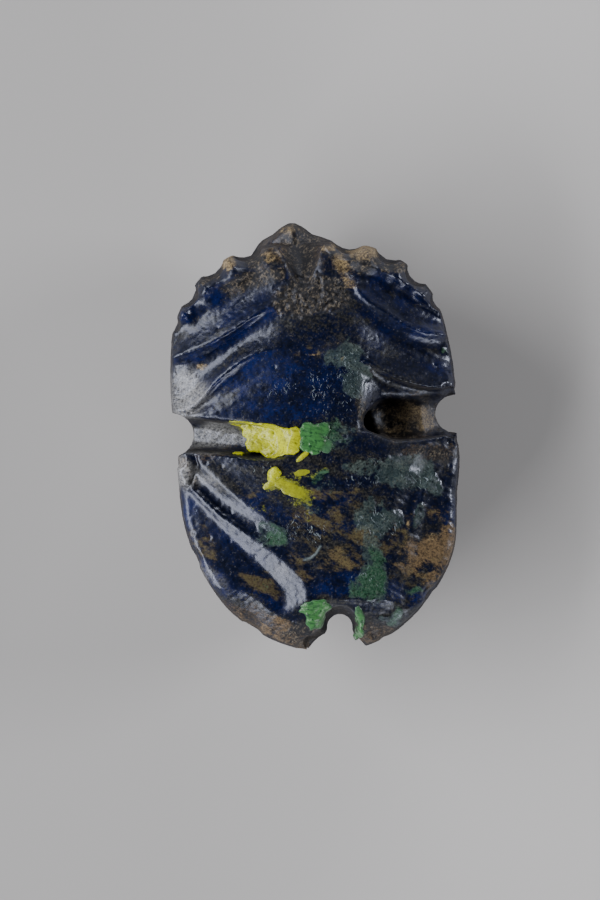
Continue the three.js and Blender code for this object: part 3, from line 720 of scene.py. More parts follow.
GREEN_SPOTS = (
    (2.1, -7.3, 0.95, 0.75, 20, 1.0), (2.5, -6.3, 0.5, 0.8, 0, 0.8), (-2.45, -4.6, 0.6, 0.45, -35, 0.8),
    (4.25, -7.95, 0.35, 0.25, 20, 0.8), (2.95, -9.2, 0.45, 0.3, 30, 0.9), (0.2, -1.8, 0.5, 0.2, 0, 0.7),
    (6.7, 3.8, 0.18, 0.18, 0, 0.9), (-3.0, -7.2, 0.5, 0.2, -20, 0.5), (0.9, 0.2, 0.5, 0.7, 0, 0.7),
)
# Pale grey painted sheen where slopes face the left lights: the white left end, the left channel floor, the
# knee and the left hind leg's facet.
PAINTED_SHEEN_SPOTS = (
    (-5.6, -6.4, 0.8, 0.35, -45, 0.35), (-6.1, 2.8, 0.9, 1.1, 0, 1.0), (-6.3, 1.9, 0.6, 0.4, 0, 1.0),
    (-4.6, 0.5, 1.3, 0.5, 0, 1.0), (-6.4, -1.2, 0.5, 0.8, 10, 1.0), (-5.6, -1.6, 0.7, 0.3, -25, 0.5),
    (-4.2, 0.1, 2.0, 0.3, 3, 0.8), (-6.5, -1.3, 0.5, 0.6, 0, 0.8), (-2.3, -6.6, 0.5, 0.3, -45, 0.3),
)


# Rough brown stone and dirt: round the broken patch, between and behind the teeth, and in the holes. In the
# scoops between the teeth the dark brown is also painted shade.
DIRT_AND_SHADE_SPOTS = (
    (2.4, 1.3, 0.35, 0.8, 0, 0.8), (1.3, 4.3, 0.8, 0.35, 10, 0.6), (0.1, 8.6, 0.9, 1.3, 0, 1.0),
    (-2.3, 7.95, 1.9, 0.5, 8, 1.0), (-2.2, 8.75, 0.5, 0.4, 0, 0.8), (3.1, 8.35, 0.9, 0.6, 0, 1.0),
    (4.6, 7.95, 0.8, 0.3, -5, 0.9), (-4.5, 8.2, 0.8, 0.25, 20, 0.8), (-5.75, 7.15, 0.5, 0.2, 30, 0.8),
    (5.8, 6.9, 0.5, 0.3, -40, 0.5), (4.4, 0.5, 2.0, 1.1, 0, 1.0), (5.4, -1.4, 1.6, 0.5, 0, 0.7),
    (-1.6, -9.7, 1.4, 0.6, -8, 0.8), (2.2, -9.8, 1.2, 0.5, 0, 0.8), (-3.6, -9.0, 1.6, 0.5, -35, 0.5),
    (0.2, 9.9, 1.2, 0.9, 0, 0.9), (-6.3, -0.1, 0.9, 0.2, 0, 0.6),
)
LEMON_SPOTS = (
    (-1.35, -2.35, 0.95, 0.42, -28, 0.9), (-0.85, -3.0, 0.5, 0.45, 0, 0.75),
    (-0.8, -1.7, 0.6, 0.25, 5, 0.6), (-2.3, -2.1, 0.5, 0.25, 10, 0.7), (-2.7, -0.2, 0.8, 0.45, 0, 0.6),
    (-3.2, 0.6, 1.0, 0.3, -15, 0.5), (-0.8, -4.0, 0.25, 0.5, 10, 0.45), (0.1, -1.7, 0.5, 0.2, 10, 0.5),
    (-2.9, -3.2, 0.5, 0.2, -10, 0.3),
)


def paint(stone):
    """Stores how much of each colour the stone shows at every point."""
    mesh = stone.data
    co = coordinates(mesh) + np.array([*OFFSET, 0])
    normals = vertex_normals(mesh)
    x, y = wandered(co, 0.5, 1.1, 31)
    fine_x, fine_y = wandered(co, 0.16, 0.35, 41)
    face = ease(-0.4, 0.1, normals[:, 2]) * ease(3.2, 4.6, co[:, 2])
    mottled = 0.5 + 0.5 * fractal(co, 2.4, 3, 51)
    plain = 1 - face
    matrix = face * spots_at(MATRIX_SPOTS, x, y, 0.6) + plain * 0.75 * ease(0.45, 0.75, mottled)
    side = plain * ease(2.5, 4.5, co[:, 2])
    matrix = np.maximum(matrix, side * ease(0.3, 0.6, mottled))
    # Painted light on the front half: slopes facing the left lights get more grey, a painted sheen; slopes
    # turned away lose their grey and get clear blue instead.
    lit = (normals[:, 1] - normals[:, 0]) * ease(1.5, 2.0, co[:, 1]) * (1 - ease(0.0, 2.0, co[:, 0]))
    matrix = np.clip(matrix + 0.2 * ease(0.15, 0.5, lit) - 0.6 * ease(0.0, 0.3, -lit), 0, 1)
    store(mesh, "matrix", matrix)
    blue = face * spots_at(BLUE_SPOTS, x, y, 0.6) + plain * ease(0.4, 0.7, 1 - mottled)
    # Clear blue on slopes turned away from the left lights, painted by how the light falls.
    store(mesh, "blue", np.clip(blue + 0.7 * face * ease(0.0, 0.3, -lit), 0, 1))
    store(mesh, "brown", face * spots_at(BROWN_SPOTS, x, y, 0.5) + 0.4 * plain * ease(0.5, 0.8, mottled))
    store(mesh, "tan", face * spots_at(TAN_SPOTS, x, y, 0.8) + 0.3 * plain * ease(0.6, 0.85, mottled))
    store(mesh, "olive", face * spots_at(OLIVE_SPOTS, x, y, 0.8))
    # Cream wear, with painted highlights on the lit flanks of the teeth, the head's tip, the knee and the
    # right channel's floor.
    store(mesh, "cream", face * spots_at(CREAM_AND_HIGHLIGHT_SPOTS, fine_x, fine_y, 0.5))
    film_x, film_y = wandered(co, *FILM_WANDER)
    store(mesh, "film", face * spots_at(FILM_SPOTS, film_x, film_y, 0.45))
    store(mesh, "scuffs", face * spots_at(SCUFF_SPOTS, x, y))
    store(mesh, "fibre", line_mark(FIBRE, co[:, 0], co[:, 1], 0.045))
    store(mesh, "green", face * spots_at(GREEN_SPOTS, film_x, film_y, 0.7))
    # Painted sheen: pale grey on places that face the left lights.
    store(mesh, "pale", face * spots_at(PAINTED_SHEEN_SPOTS, x, y, 0.5))
    store(mesh, "side", 1 - ease(0.05, 0.45, normals[:, 2]))
    # The rough mask also holds the dark brown painted shade in the scoops between the teeth.
    rough = np.maximum(spots_at(ROUGH_SPOTS, x, y), 0.8 * spots_at(DIRT_AND_SHADE_SPOTS, fine_x, fine_y))
    store(mesh, "rough", face * rough)
    store(mesh, "lemon", face * spots_at(LEMON_SPOTS, film_x, film_y, 0.6))


# ------------------------------------------------------------------ materials
class Nodes:
    """Short words for building a material's nodes."""

    def __init__(self, name):
        self.material = bpy.data.materials.new(name)
        self.material.use_nodes = True
        self.tree = self.material.node_tree
        self.shader = self.tree.nodes["Principled BSDF"]
        self.place = self.tree.nodes.new("ShaderNodeTexCoord").outputs["Object"]

    def add(self, kind, **settings):
        node = self.tree.nodes.new(kind)
        for key, value in settings.items():
            setattr(node, key, value)
        return node

    def link(self, source, socket):
        if isinstance(source, bpy.types.NodeSocket):
            self.tree.links.new(source, socket)
        else:
            socket.default_value = source

    def amount(self, name):
        return self.add("ShaderNodeAttribute", attribute_name=name).outputs["Fac"]

    def noise(self, size, detail=3.0, roughness=0.6, stretch=(1, 1, 1), turn=0.0):
        """Noise with features of the given size in millimetres, about 0.5 on average."""
        mapping = self.add("ShaderNodeMapping", vector_type="TEXTURE")
        mapping.inputs["Scale"].default_value = [size * MM * s for s in stretch]
        mapping.inputs["Rotation"].default_value = (0, 0, turn)
        self.link(self.place, mapping.inputs["Vector"])
        texture = self.add("ShaderNodeTexNoise")
        texture.inputs["Scale"].default_value = 1.0
        texture.inputs["Detail"].default_value = detail
        texture.inputs["Roughness"].default_value = roughness
        self.link(mapping.outputs["Vector"], texture.inputs["Vector"])
        return texture.outputs["Fac"]

    def grains(self, size):
        """Distance to scattered points, in sizes."""
        texture = self.add("ShaderNodeTexVoronoi")
        texture.inputs["Scale"].default_value = 1 / (size * MM)
        self.link(self.place, texture.inputs["Vector"])
        return texture.outputs["Distance"]

    def step(self, value, low, high):
        """Rises smoothly from 0 to 1 between two levels."""
        node = self.add("ShaderNodeMapRange", interpolation_type="SMOOTHSTEP")
        self.link(value, node.inputs["Value"])
        node.inputs["From Min"].default_value = low
        node.inputs["From Max"].default_value = high
        return node.outputs["Result"]

    def math(self, operation, a, b):
        node = self.add("ShaderNodeMath", operation=operation)
        self.link(a, node.inputs[0])
        self.link(b, node.inputs[1])
        return node.outputs["Value"]

    def times(self, a, b):
        return self.math("MULTIPLY", a, b)

    def plus(self, a, b):
        return self.math("ADD", a, b)

    def mix(self, share, a, b):
        """From one colour to another, each a socket or red, green and blue."""
        node = self.add("ShaderNodeMix", data_type="RGBA")
        self.link(share, node.inputs["Factor"])
        for colour, name in ((a, "A"), (b, "B")):
            is_socket = isinstance(colour, bpy.types.NodeSocket)
            self.link(colour if is_socket else (*colour, 1.0), node.inputs[name])
        return node.outputs["Result"]

    def bump(self, height, distance, strength=1.0, under=None):
        node = self.add("ShaderNodeBump")
        node.inputs["Strength"].default_value = strength
        node.inputs["Distance"].default_value = distance * MM
        self.link(height, node.inputs["Height"])
        if under is not None:
            self.link(under, node.inputs["Normal"])
        return node.outputs["Normal"]


def ragged(nodes, name, cloud, spread=1.2, low=0.4, high=0.6):
    """A painted amount whose edge breaks up into the clouds and grains of a noise."""
    painted = nodes.amount(name)
    pushed = nodes.times(nodes.math("SUBTRACT", cloud, 0.5), spread)
    broken = nodes.step(nodes.plus(painted, pushed), low, high)
    return nodes.times(broken, nodes.step(painted, 0.0, 0.2))


def strokes(nodes, turn, low=0.66):
    """Short fine scratches that all run one way."""
    return nodes.step(nodes.noise(0.07, 2, 0.5, (1, 6, 6), turn), low, low + 0.06)


def lapis_clouds(nodes):
    """The noises that the stone's colours share."""
    streaky = nodes.noise(0.5, 8, 0.74, (1.9, 1, 1), math.radians(-25))
    small = nodes.noise(0.12, 4, 0.75)
    return SimpleNamespace(
        streaky=streaky,
        small=small,
        broad=nodes.noise(0.8, 7, 0.68),
        middle=nodes.noise(0.3, 6, 0.74),
        tiny=nodes.noise(0.09, 2, 0.6),
        other=nodes.noise(0.13, 3, 0.7, (1.3, 1, 1), 1.0),
        lumpy=nodes.noise(0.3, 1, 0.5),
        mixed=nodes.plus(nodes.times(streaky, 0.65), nodes.times(small, 0.35)),
    )


def stone_colour(nodes, clouds, veins_and_sheen, colours):
    """Blue, grey, brown, tan and olive stone, with rough brown patches and a plain side wall. The grey also
    carries painted sheen on slopes facing the left lights, and the rough dark brown is also painted shade in
    the scoops between the teeth.
    """
    dull = nodes.step(nodes.plus(nodes.times(clouds.middle, 0.6), nodes.times(clouds.other, 0.4)), 0.4, 0.6)
    lively = nodes.times(nodes.amount("blue"), nodes.step(clouds.broad, 0.38, 0.62))
    blue = nodes.mix(lively, nodes.mix(dull, colours.deep_blue, colours.blue), colours.bright_blue)
    coarse = nodes.step(clouds.small, 0.4, 0.66)
    brown = nodes.mix(coarse, colours.dark_brown, colours.brown)
    matrix = nodes.mix(coarse, colours.dark_matrix, colours.matrix)
    stone = nodes.mix(ragged(nodes, "brown", clouds.middle), matrix, brown)
    colour = nodes.mix(veins_and_sheen, blue, stone)
    tan = nodes.mix(nodes.step(clouds.small, 0.34, 0.6), colours.brown, colours.tan)
    colour = nodes.mix(ragged(nodes, "tan", clouds.streaky, 3.6, 0.4, 0.8), colour, tan)
    mossy = nodes.times(ragged(nodes, "olive", clouds.streaky, 3.2, 0.35, 0.85), 0.8)
    moss = nodes.mix(nodes.step(clouds.small, 0.32, 0.62), colours.brown, colours.olive)
    colour = nodes.mix(mossy, colour, moss)
    pale = nodes.times(nodes.step(clouds.other, 0.46, 0.62), nodes.step(clouds.lumpy, 0.36, 0.56))
    dirt = nodes.mix(pale, colours.dark_brown, colours.dirt)
    # Rough dark brown stone and dirt; in the scoops between the teeth it is also painted shade.
    colour = nodes.mix(ragged(nodes, "rough", clouds.middle, 1.6, 0.35, 0.7), colour, dirt)
    side = nodes.mix(nodes.step(clouds.middle, 0.45, 0.7), colours.dark_brown, colours.brown)
    return nodes.mix(nodes.times(nodes.amount("side"), 0.8), colour, side)


def with_wear_sheen_and_film(nodes, clouds, colour, colours):
    """Cream wear with painted highlights, pale painted sheen, and the film and putty that are spread thin
    over the stone.
    """
    # Cream worn stone, also painted highlight on the lit flanks of the teeth, the head's tip, the knee and
    # the right channel's floor.
    cream = nodes.mix(nodes.step(clouds.small, 0.36, 0.62), colours.brown, colours.cream)
    colour = nodes.mix(ragged(nodes, "cream", clouds.middle, 2.2, 0.35, 0.9), colour, cream)
    film = nodes.times(ragged(nodes, "film", clouds.middle, 2.0, 0.4, 0.62), 0.7)
    teal = nodes.mix(nodes.step(clouds.mixed, 0.42, 0.62), colours.dark_teal, colours.teal)
    colour = nodes.mix(film, colour, teal)
    # Pale grey painted sheen on places that face the left lights.
    painted_sheen = nodes.times(nodes.amount("pale"), nodes.step(clouds.small, 0.3, 0.6))
    colour = nodes.mix(painted_sheen, colour, colours.painted_sheen)
    greenish = nodes.mix(nodes.step(clouds.small, 0.4, 0.62), colours.dark_green, colours.thin_green)
    smeared = nodes.times(ragged(nodes, "green", clouds.mixed, 3.0, 0.4, 0.8), 0.8)
    colour = nodes.mix(smeared, colour, greenish)
    lemon = nodes.times(ragged(nodes, "lemon", clouds.mixed, 3.4, 0.45, 0.75), 0.85)
    return nodes.mix(lemon, colour, colours.thin_yellow)


def with_grains(nodes, clouds, colour, colours):
    """Golden and dark grains, and pale specks that are painted glints, the sparkle of the polish."""
    gold = nodes.times(nodes.step(nodes.grains(0.13), 0.26, 0.1), nodes.step(clouds.middle, 0.46, 0.6))
    colour = nodes.mix(nodes.times(gold, 0.45), colour, colours.gold)
    colour = nodes.mix(nodes.times(nodes.step(clouds.tiny, 0.54, 0.62), 0.6), colour, colours.speck)
    # Pale specks everywhere: painted glints for the sparkle of the polish.
    return nodes.mix(nodes.times(nodes.step(clouds.other, 0.62, 0.7), 0.45), colour, colours.grain)


def scuff_marks(nodes, clouds):
    """Scratches in three directions, and the fibre."""
    lines = nodes.math("MAXIMUM", strokes(nodes, 0.1), strokes(nodes, 0.65))
    lines = nodes.math("MAXIMUM", lines, strokes(nodes, -0.6))
    scuffs = nodes.times(lines, ragged(nodes, "scuffs", clouds.broad, 2.0, 0.3, 0.8))
    return nodes.math("MAXIMUM", scuffs, nodes.amount("fibre"))


def lapis_relief(nodes, clouds, scuffs):
    """Low bumps: lumps, grain that is stronger in the rough patches, tool streaks and scratches."""
    grainy = nodes.times(nodes.noise(0.15, 2, 0.55), nodes.plus(nodes.amount("rough"), 0.25))
    streaks = nodes.noise(0.09, 1, 0.5, (8, 1, 1), math.radians(-30))
    relief = nodes.bump(clouds.lumpy, 0.02, 0.5)
    relief = nodes.bump(grainy, 0.03, 0.7, relief)
    relief = nodes.bump(streaks, 0.006, 0.5, relief)
    return nodes.bump(scuffs, 0.02, 0.6, relief)


def lapis_material(colours):
    nodes = Nodes("lapis_lazuli")
    clouds = lapis_clouds(nodes)
    # Grey matrix mask; on the front half it also holds the painted sheen of slopes facing the left lights.
    veins_and_sheen = ragged(nodes, "matrix", clouds.mixed, 4.6, 0.45, 1.0)
    colour = stone_colour(nodes, clouds, veins_and_sheen, colours)
    colour = with_wear_sheen_and_film(nodes, clouds, colour, colours)
    colour = with_grains(nodes, clouds, colour, colours)
    scuffs = scuff_marks(nodes, clouds)
    colour = nodes.mix(nodes.times(scuffs, 0.7), colour, colours.scratch)
    nodes.link(colour, nodes.shader.inputs["Base Color"])
    rough = nodes.plus(nodes.times(veins_and_sheen, 0.05), nodes.times(clouds.middle, 0.14))
    rough = nodes.plus(rough, nodes.times(nodes.amount("rough"), 0.3))
    rough = nodes.plus(rough, nodes.times(nodes.amount("side"), 0.75))
    nodes.link(nodes.plus(rough, 0.23), nodes.shader.inputs["Roughness"])
    nodes.link(lapis_relief(nodes, clouds, scuffs), nodes.shader.inputs["Normal"])
    nodes.shader.inputs["IOR"].default_value = 1.52
    nodes.shader.inputs["Specular IOR Level"].default_value = 0.6
    nodes.shader.inputs["Specular Tint"].default_value = (0.78, 0.83, 1.0, 1.0)
    return nodes.material


def putty_material(name, main, shade, rim):
    nodes = Nodes(name)
    small = nodes.noise(0.22, 4, 0.65)
    smeared = nodes.noise(0.12, 3, 0.6, (5, 1, 1), math.radians(-18))
    colour = nodes.mix(nodes.step(smeared, 0.2, 0.56), shade, main)
    colour = nodes.mix(nodes.step(small, 0.54, 0.64), colour, shade)
    colour = nodes.mix(nodes.times(nodes.amount("thin"), 0.85), colour, rim)
    nodes.link(colour, nodes.shader.inputs["Base Color"])
    nodes.shader.inputs["Roughness"].default_value = 0.34
    relief = nodes.bump(nodes.noise(0.2, 1.5, 0.5), 0.05, 0.6)
    nodes.link(relief, nodes.shader.inputs["Normal"])
    return nodes.material


def floor_material(colour):
    nodes = Nodes("pale_table")
    split = nodes.add("ShaderNodeSeparateXYZ")
    nodes.link(nodes.place, split.inputs["Vector"])
    # Painted shade: the table darkens towards the left and is paler to the right, a painted fall-off of the
    # light across it.
    painted_shade_colour = tuple(0.62 * part for part in colour)
    nodes.link(nodes.mix(nodes.step(split.outputs["X"], -0.035, 0.03), painted_shade_colour, colour),
               nodes.shader.inputs["Base Color"])
    nodes.shader.inputs["Roughness"].default_value = 0.8
    nodes.shader.inputs["Specular IOR Level"].default_value = 0.2
    return nodes.material


# ------------------------------------------------------------------ putty left on the stone
# Lumps of putty: x, y, half length, half width, turn in degrees, thickness.
YELLOW_LUMPS = (
    (-3.35, 0.92, 0.95, 0.16, -12, 0.16), (-2.5, 0.62, 1.1, 0.3, -14, 0.22),
    (-1.75, 0.25, 1.1, 0.42, -12, 0.3), (-1.45, -0.25, 0.75, 0.5, -10, 0.34),
    (-2.1, -0.6, 0.6, 0.25, -5, 0.2), (-1.0, 0.1, 0.35, 0.5, 0, 0.3), (-3.0, 0.35, 0.55, 0.25, -20, 0.1),
    (-3.85, -0.5, 0.3, 0.13, -5, 0.12), (-2.15, -1.6, 0.36, 0.34, 0, 0.34),
    (-1.85, -2.1, 0.7, 0.28, -25, 0.12), (-1.3, -2.5, 0.75, 0.36, -28, 0.09),
    (-2.4, -2.15, 0.45, 0.18, 20, 0.1), (-2.75, -0.15, 0.75, 0.42, -4, 0.12),
    (-0.8, -1.7, 0.5, 0.18, 5, 0.08), (-0.65, -0.85, 0.5, 0.13, 35, 0.2),
)
GREEN_LUMPS = (
    (-0.25, 0.2, 0.62, 0.5, 0, 0.3), (-0.1, -0.3, 0.6, 0.5, 0, 0.28), (0.35, 0.3, 0.45, 0.4, 20, 0.18),
    (-0.55, -0.35, 0.3, 0.4, 20, 0.26), (0.5, -0.45, 0.35, 0.35, 0, 0.12), (0.2, -1.75, 0.5, 0.14, 0, 0.06),
    (-0.75, -8.3, 0.8, 0.36, 5, 0.24), (-0.75, -8.85, 0.5, 0.6, 0, 0.26),
    (-0.35, -8.35, 0.5, 0.25, -20, 0.2), (1.4, -9.0, 0.26, 0.55, 5, 0.2), (1.3, -9.75, 0.26, 0.4, -5, 0.18),
)


PUTTY_VOXEL = 0.045


def putty(name, lumps, stone, seed):
    """Lumps pressed onto the stone, joined into one body with an uneven skin."""
    parts = []
    for k, (cx, cy, half_length, half_width, turn, thickness) in enumerate(lumps):
        bpy.ops.object.select_all(action="DESELECT")
        bpy.ops.mesh.primitive_uv_sphere_add(segments=72, ring_count=36, radius=1)
        lump = bpy.context.object
        co = coordinates(lump.data)
        angle = np.arctan2(co[:, 1], co[:, 0])
        around = np.column_stack([np.cos(angle), np.sin(angle), 0 * angle])
        wavy = 1 + 0.34 * fractal(around, 0.45, 4, seed + k)
        out = np.hypot(co[:, 0], co[:, 1])
        along, across = (around[:, :2] * (out * wavy)[:, None] * np.array([half_length, half_width])).T
        c, s = math.cos(math.radians(turn)), math.sin(math.radians(turn))
        x = cx + along * c - across * s - OFFSET[0]
        y = cy + along * s + across * c - OFFSET[1]
        ground = np.array([stone_height(stone, px, py) for px, py in zip(x, y)])
        place = np.column_stack([x, y, ground])
        uneven = 1 + 0.5 * fractal(place, 0.5, 3, seed + 50)
        top = 0.8 * thickness * np.maximum(co[:, 2], 0) ** 0.5 * uneven
        sunk = ground - 0.07 + 0.05 * np.minimum(co[:, 2], 0)
        level = np.minimum(6.95 + 0.28 * (x + 1.6), 7.4 - thickness)
        filled = np.where(np.abs(y) < 0.9, np.maximum(ground, level), ground)
        height = np.where(co[:, 2] > 0.02, filled + top - 0.04, sunk)
        set_coordinates(lump.data, np.column_stack([x, y, height]))
        parts.append(lump)
    body = join(parts)
    body.name = name
    apply_modifier(body, "REMESH", mode="VOXEL", voxel_size=PUTTY_VOXEL, adaptivity=0.0)
    apply_modifier(body, "SMOOTH", factor=0.5, iterations=2)
    co = coordinates(body.data)
    x, y = co[:, 0], co[:, 1]
    ground = np.array([stone_height(stone, px, py) for px, py in zip(x, y)])
    store(body.data, "thin", 1 - ease(0.0, 0.13, co[:, 2] - ground))
    return body


def stone_height(stone, x, y):
    """Height of the stone's carved skin at a place, found by looking straight down."""
    hit, place, _, _ = stone.ray_cast(Vector((x, y, ABOVE_ALL)), Vector((0, 0, -1)))
    return place.z if hit else GIRTH_HEIGHT


# ------------------------------------------------------------------ finishing a piece
def finish_piece(obj, name, material):
    """Scales a piece to metres, leaves its object at the origin and hands it to the frame."""
    obj.name = name
    obj.data.name = name
    obj.data.transform(Matrix.Scale(MM, 4))
    obj.data.materials.clear()
    obj.data.materials.append(material)
    select_only(obj)
    bpy.ops.object.shade_smooth()
    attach(obj, "root")
    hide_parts("scarab")
    return obj


# ------------------------------------------------------------------ settings a user would change
def length(name, description, default):
    return bpy.props.FloatProperty(name=name, description=description, default=default, min=0.0, unit="NONE")


def colour(name, description, default):
    return bpy.props.FloatVectorProperty(name=name, description=description, default=default, size=3,
                                         min=0.0, max=1.0, subtype="COLOR")


def power(name, description, default):
    return bpy.props.FloatProperty(name=name, description=description, default=default, min=0.0,
                                   unit="POWER")


class ScarabSizes(bpy.types.PropertyGroup):
    unevenness: length("Unevenness (mm)", "How far the hand-carved skin wanders", 0.018)
    grain: length("Grain (mm)", "Height of the stone's fine grain", 0.006)
    streaks: length("Streaks (mm)", "Depth of the tool streaks along the legs", 0.012)
    roughness: length("Rough patch (mm)", "Depth of the broken patch behind the head", 0.16)
    voxel: length("Mesh step (mm)", "Step of the stone's mesh", 0.075)
    triangles: bpy.props.IntProperty(name="Triangles", description="Most triangles in the stone",
                                     default=196000, min=1000, subtype="UNSIGNED")


class ScarabColours(bpy.types.PropertyGroup):
    deep_blue: colour("Deep blue", "Darkest lapis", (0.0008, 0.0025, 0.011))
    blue: colour("Blue", "Common lapis", (0.0016, 0.0045, 0.028))
    bright_blue: colour("Bright blue", "Clear blue fields", (0.0028, 0.01, 0.085))
    dark_matrix: colour("Dark matrix", "Dark grey stone between the blues", (0.003, 0.0032, 0.004))
    # Grey of the matrix, also the colour of the painted sheen on slopes facing the left lights.
    matrix: colour("Matrix", "Grey stone between the blues", (0.042, 0.04, 0.036))
    dark_brown: colour("Dark brown", "Dark brown stone and dirt", (0.005, 0.0035, 0.0022))
    brown: colour("Brown", "Brown stone", (0.075, 0.05, 0.028))
    tan: colour("Tan", "Tan and orange stone", (0.2, 0.135, 0.07))
    olive: colour("Olive", "Olive stone", (0.12, 0.1, 0.045))
    # Cream of worn stone, also the colour of painted highlights on the teeth, the head's tip, the knee and
    # the right channel's floor.
    cream: colour("Cream", "Pale worn stone on the teeth", (0.36, 0.27, 0.14))
    gold: colour("Gold", "Golden grains", (0.2, 0.17, 0.1))
    speck: colour("Speck", "Dark grains", (0.001, 0.001, 0.002))
    # Pale specks: painted glints for the sparkle of the polish.
    grain: colour("Pale grain", "Pale grains everywhere in the stone", (0.13, 0.135, 0.135))
    dirt: colour("Pale dirt", "Pale grains in the rough brown stone", (0.15, 0.12, 0.083))
    teal: colour("Teal film", "Smeared film", (0.1, 0.135, 0.125))
    dark_teal: colour("Dark teal film", "Darker smeared film", (0.03, 0.05, 0.05))
    # Pale grey painted sheen for places that face the left lights.
    painted_sheen: colour("Worn", "Stone rubbed pale", (0.29, 0.29, 0.295))
    scratch: colour("Scratches", "Pale scratch marks", (0.24, 0.3, 0.32))
    yellow: colour("Yellow putty", "Yellow putty", (0.54, 0.57, 0.006))
    dark_yellow: colour("Shaded yellow putty", "Duller yellow putty", (0.22, 0.22, 0.01))
    thin_yellow: colour("Thin yellow putty", "Yellow putty spread thin", (0.25, 0.27, 0.02))
    green: colour("Green putty", "Green putty", (0.055, 0.2, 0.055))
    dark_green: colour("Shaded green putty", "Darker green putty", (0.01, 0.06, 0.022))
    thin_green: colour("Thin green putty", "Green putty spread thin", (0.055, 0.12, 0.075))


class ScarabStage(bpy.types.PropertyGroup):
    table: colour("Table", "Colour of the table", (0.68, 0.67, 0.68))
    table_size: bpy.props.FloatProperty(name="Table size", description="Width of the table", default=3.0,
                                        unit="LENGTH")
    main_light: power("Main light", "Soft light from the left", 2.5)
    side_light: power("Side light", "Weaker light from the right", 2.0)
    top_light: power("End lights", "Weak lights past the head and the tail", 1.2)
    camera_distance: bpy.props.FloatProperty(name="Camera distance", description="Height of the camera",
                                             default=0.6, unit="LENGTH")
    camera_turn: bpy.props.FloatProperty(name="Camera turn", description="How far the camera is turned",
                                         default=math.radians(-5), unit="ROTATION")


# ------------------------------------------------------------------ operators
class SCARAB_OT_stone(bpy.types.Operator):
    """Carve, wear and colour the stone"""
    bl_idname = "scarab.stone"
    bl_label = "Carve the stone"

    def execute(self, context):
        sizes = context.scene.scarab_sizes
        stone = carved_blank(sizes.voxel)
        rub_smooth(stone)
        weather(stone, sizes)
        thin_out(stone, sizes.triangles)
        keep_in_box(stone.data)
        paint(stone)
        finish_piece(stone, "carved_stone", lapis_material(context.scene.scarab_colours))
        return {"FINISHED"}


class SCARAB_OT_putty(bpy.types.Operator):
    """Press the yellow and green putty onto the stone"""
    bl_idname = "scarab.putty"
    bl_label = "Add the putty"

    def execute(self, context):
        colours = context.scene.scarab_colours
        ground = bpy.data.objects["carved_stone"].copy()
        ground.data = ground.data.copy()
        ground.data.transform(Matrix.Scale(1 / MM, 4))
        context.collection.objects.link(ground)
        context.view_layer.update()
        yellow = putty("yellow_putty", YELLOW_LUMPS, ground, 70)
        green = putty("green_putty", GREEN_LUMPS, ground, 90)
        bpy.data.objects.remove(ground)
        skin = putty_material("yellow_putty", colours.yellow, colours.dark_yellow, colours.thin_yellow)
        finish_piece(yellow, "yellow_putty", skin)
        skin = putty_material("green_putty", colours.green, colours.dark_green, colours.thin_green)
        finish_piece(green, "green_putty", skin)
        return {"FINISHED"}


# Each light: name, place, width, height, and the setting that gives its power.
LIGHTS = (
    ("left_light", (-0.42, 0.14, 0.26), 0.42, 0.22, "main_light"),
    ("lower_left_light", (-0.42, -0.22, 0.24), 0.38, 0.22, "main_light"),
    ("right_light", (0.6, 0.06, 0.2), 0.2, 0.08, "side_light"),
    ("upper_light", (0.2, 0.6, 0.2), 0.3, 0.06, "top_light"),
    ("lower_light", (0.2, -0.6, 0.2), 0.3, 0.06, "top_light"),
)
LIGHTS_AIM = (0, 0, 0.004)
PICTURE_WIDTH = 0.0294
PICTURE_MIDDLE = (-0.0009, -0.00066, 0)
SENSOR_WIDTH = 36


def soft_light(name, place, width, height, power):
    bpy.ops.object.select_all(action="DESELECT")
    bpy.ops.object.light_add(type="AREA", location=place)
    light = bpy.context.object
    light.name = name
    light.data.shape = "RECTANGLE"
    light.data.size = width
    light.data.size_y = height
    light.data.energy = power
    light.rotation_euler = (Vector(LIGHTS_AIM) - Vector(place)).to_track_quat("-Z", "Y").to_euler()


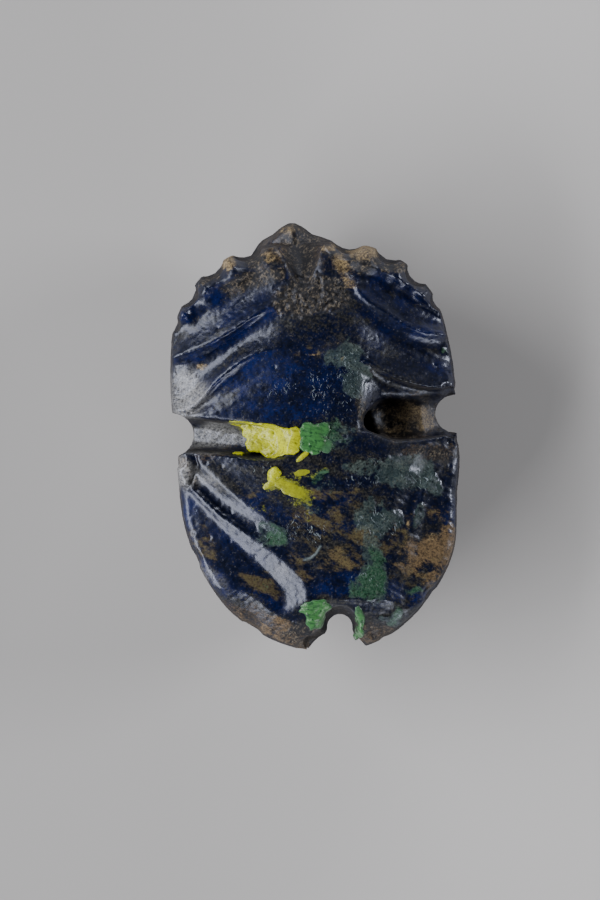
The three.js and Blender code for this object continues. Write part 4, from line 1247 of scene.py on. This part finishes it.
class SCARAB_OT_stage(bpy.types.Operator):
    """Lay the table and set the lights and the camera"""
    bl_idname = "scarab.stage"
    bl_label = "Set the stage"

    def execute(self, context):
        stage = context.scene.scarab_stage
        bpy.ops.object.select_all(action="DESELECT")
        bpy.ops.mesh.primitive_plane_add(size=stage.table_size)
        table = context.object
        table.name = "table"
        table.data.materials.append(floor_material(stage.table))
        for name, place, width, height, setting in LIGHTS:
            soft_light(name, place, width, height, getattr(stage, setting))
        world = bpy.data.worlds.new("soft_room")
        world.use_nodes = True
        world.node_tree.nodes["Background"].inputs["Color"].default_value = (0.9, 0.92, 1.0, 1.0)
        world.node_tree.nodes["Background"].inputs["Strength"].default_value = 0.03
        context.scene.world = world
        bpy.ops.object.camera_add()
        camera = context.object
        camera.name = "camera"
        camera.data.sensor_fit = "HORIZONTAL"
        camera.data.sensor_width = SENSOR_WIDTH
        top = Vector(cad_box[1]).z
        camera.data.lens = SENSOR_WIDTH * (stage.camera_distance - top) / PICTURE_WIDTH
        turn = Matrix.Rotation(stage.camera_turn, 4, "Z")
        place = Vector(PICTURE_MIDDLE) + Vector((0, 0, stage.camera_distance))
        camera.matrix_world = Matrix.Translation(place) @ turn
        camera.data.clip_start = 0.01
        camera.data.clip_end = 10
        context.scene.camera = camera
        return {"FINISHED"}


class SCARAB_PT_panel(bpy.types.Panel):
    """Makes the scarab piece by piece"""
    bl_label = "Scarab amulet"
    bl_idname = "SCARAB_PT_panel"
    bl_space_type = "VIEW_3D"
    bl_region_type = "UI"
    bl_category = "Scarab"

    def draw(self, context):
        for operator in OPERATORS:
            self.layout.operator(operator.bl_idname)
        for group in (context.scene.scarab_sizes, context.scene.scarab_colours, context.scene.scarab_stage):
            column = self.layout.column()
            for key in group.__annotations__:
                column.prop(group, key)


OPERATORS = (SCARAB_OT_stone, SCARAB_OT_putty, SCARAB_OT_stage)
CLASSES = (ScarabSizes, ScarabColours, ScarabStage, *OPERATORS, SCARAB_PT_panel)


def register():
    for item in CLASSES:
        bpy.utils.register_class(item)
    bpy.types.Scene.scarab_sizes = bpy.props.PointerProperty(type=ScarabSizes)
    bpy.types.Scene.scarab_colours = bpy.props.PointerProperty(type=ScarabColours)
    bpy.types.Scene.scarab_stage = bpy.props.PointerProperty(type=ScarabStage)


def unregister():
    del bpy.types.Scene.scarab_stage
    del bpy.types.Scene.scarab_colours
    del bpy.types.Scene.scarab_sizes
    for item in reversed(CLASSES):
        bpy.utils.unregister_class(item)


def main():
    register()
    bpy.ops.scarab.stone()
    bpy.ops.scarab.putty()
    bpy.ops.scarab.stage()
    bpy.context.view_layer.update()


if __name__ == "__main__":
    main()
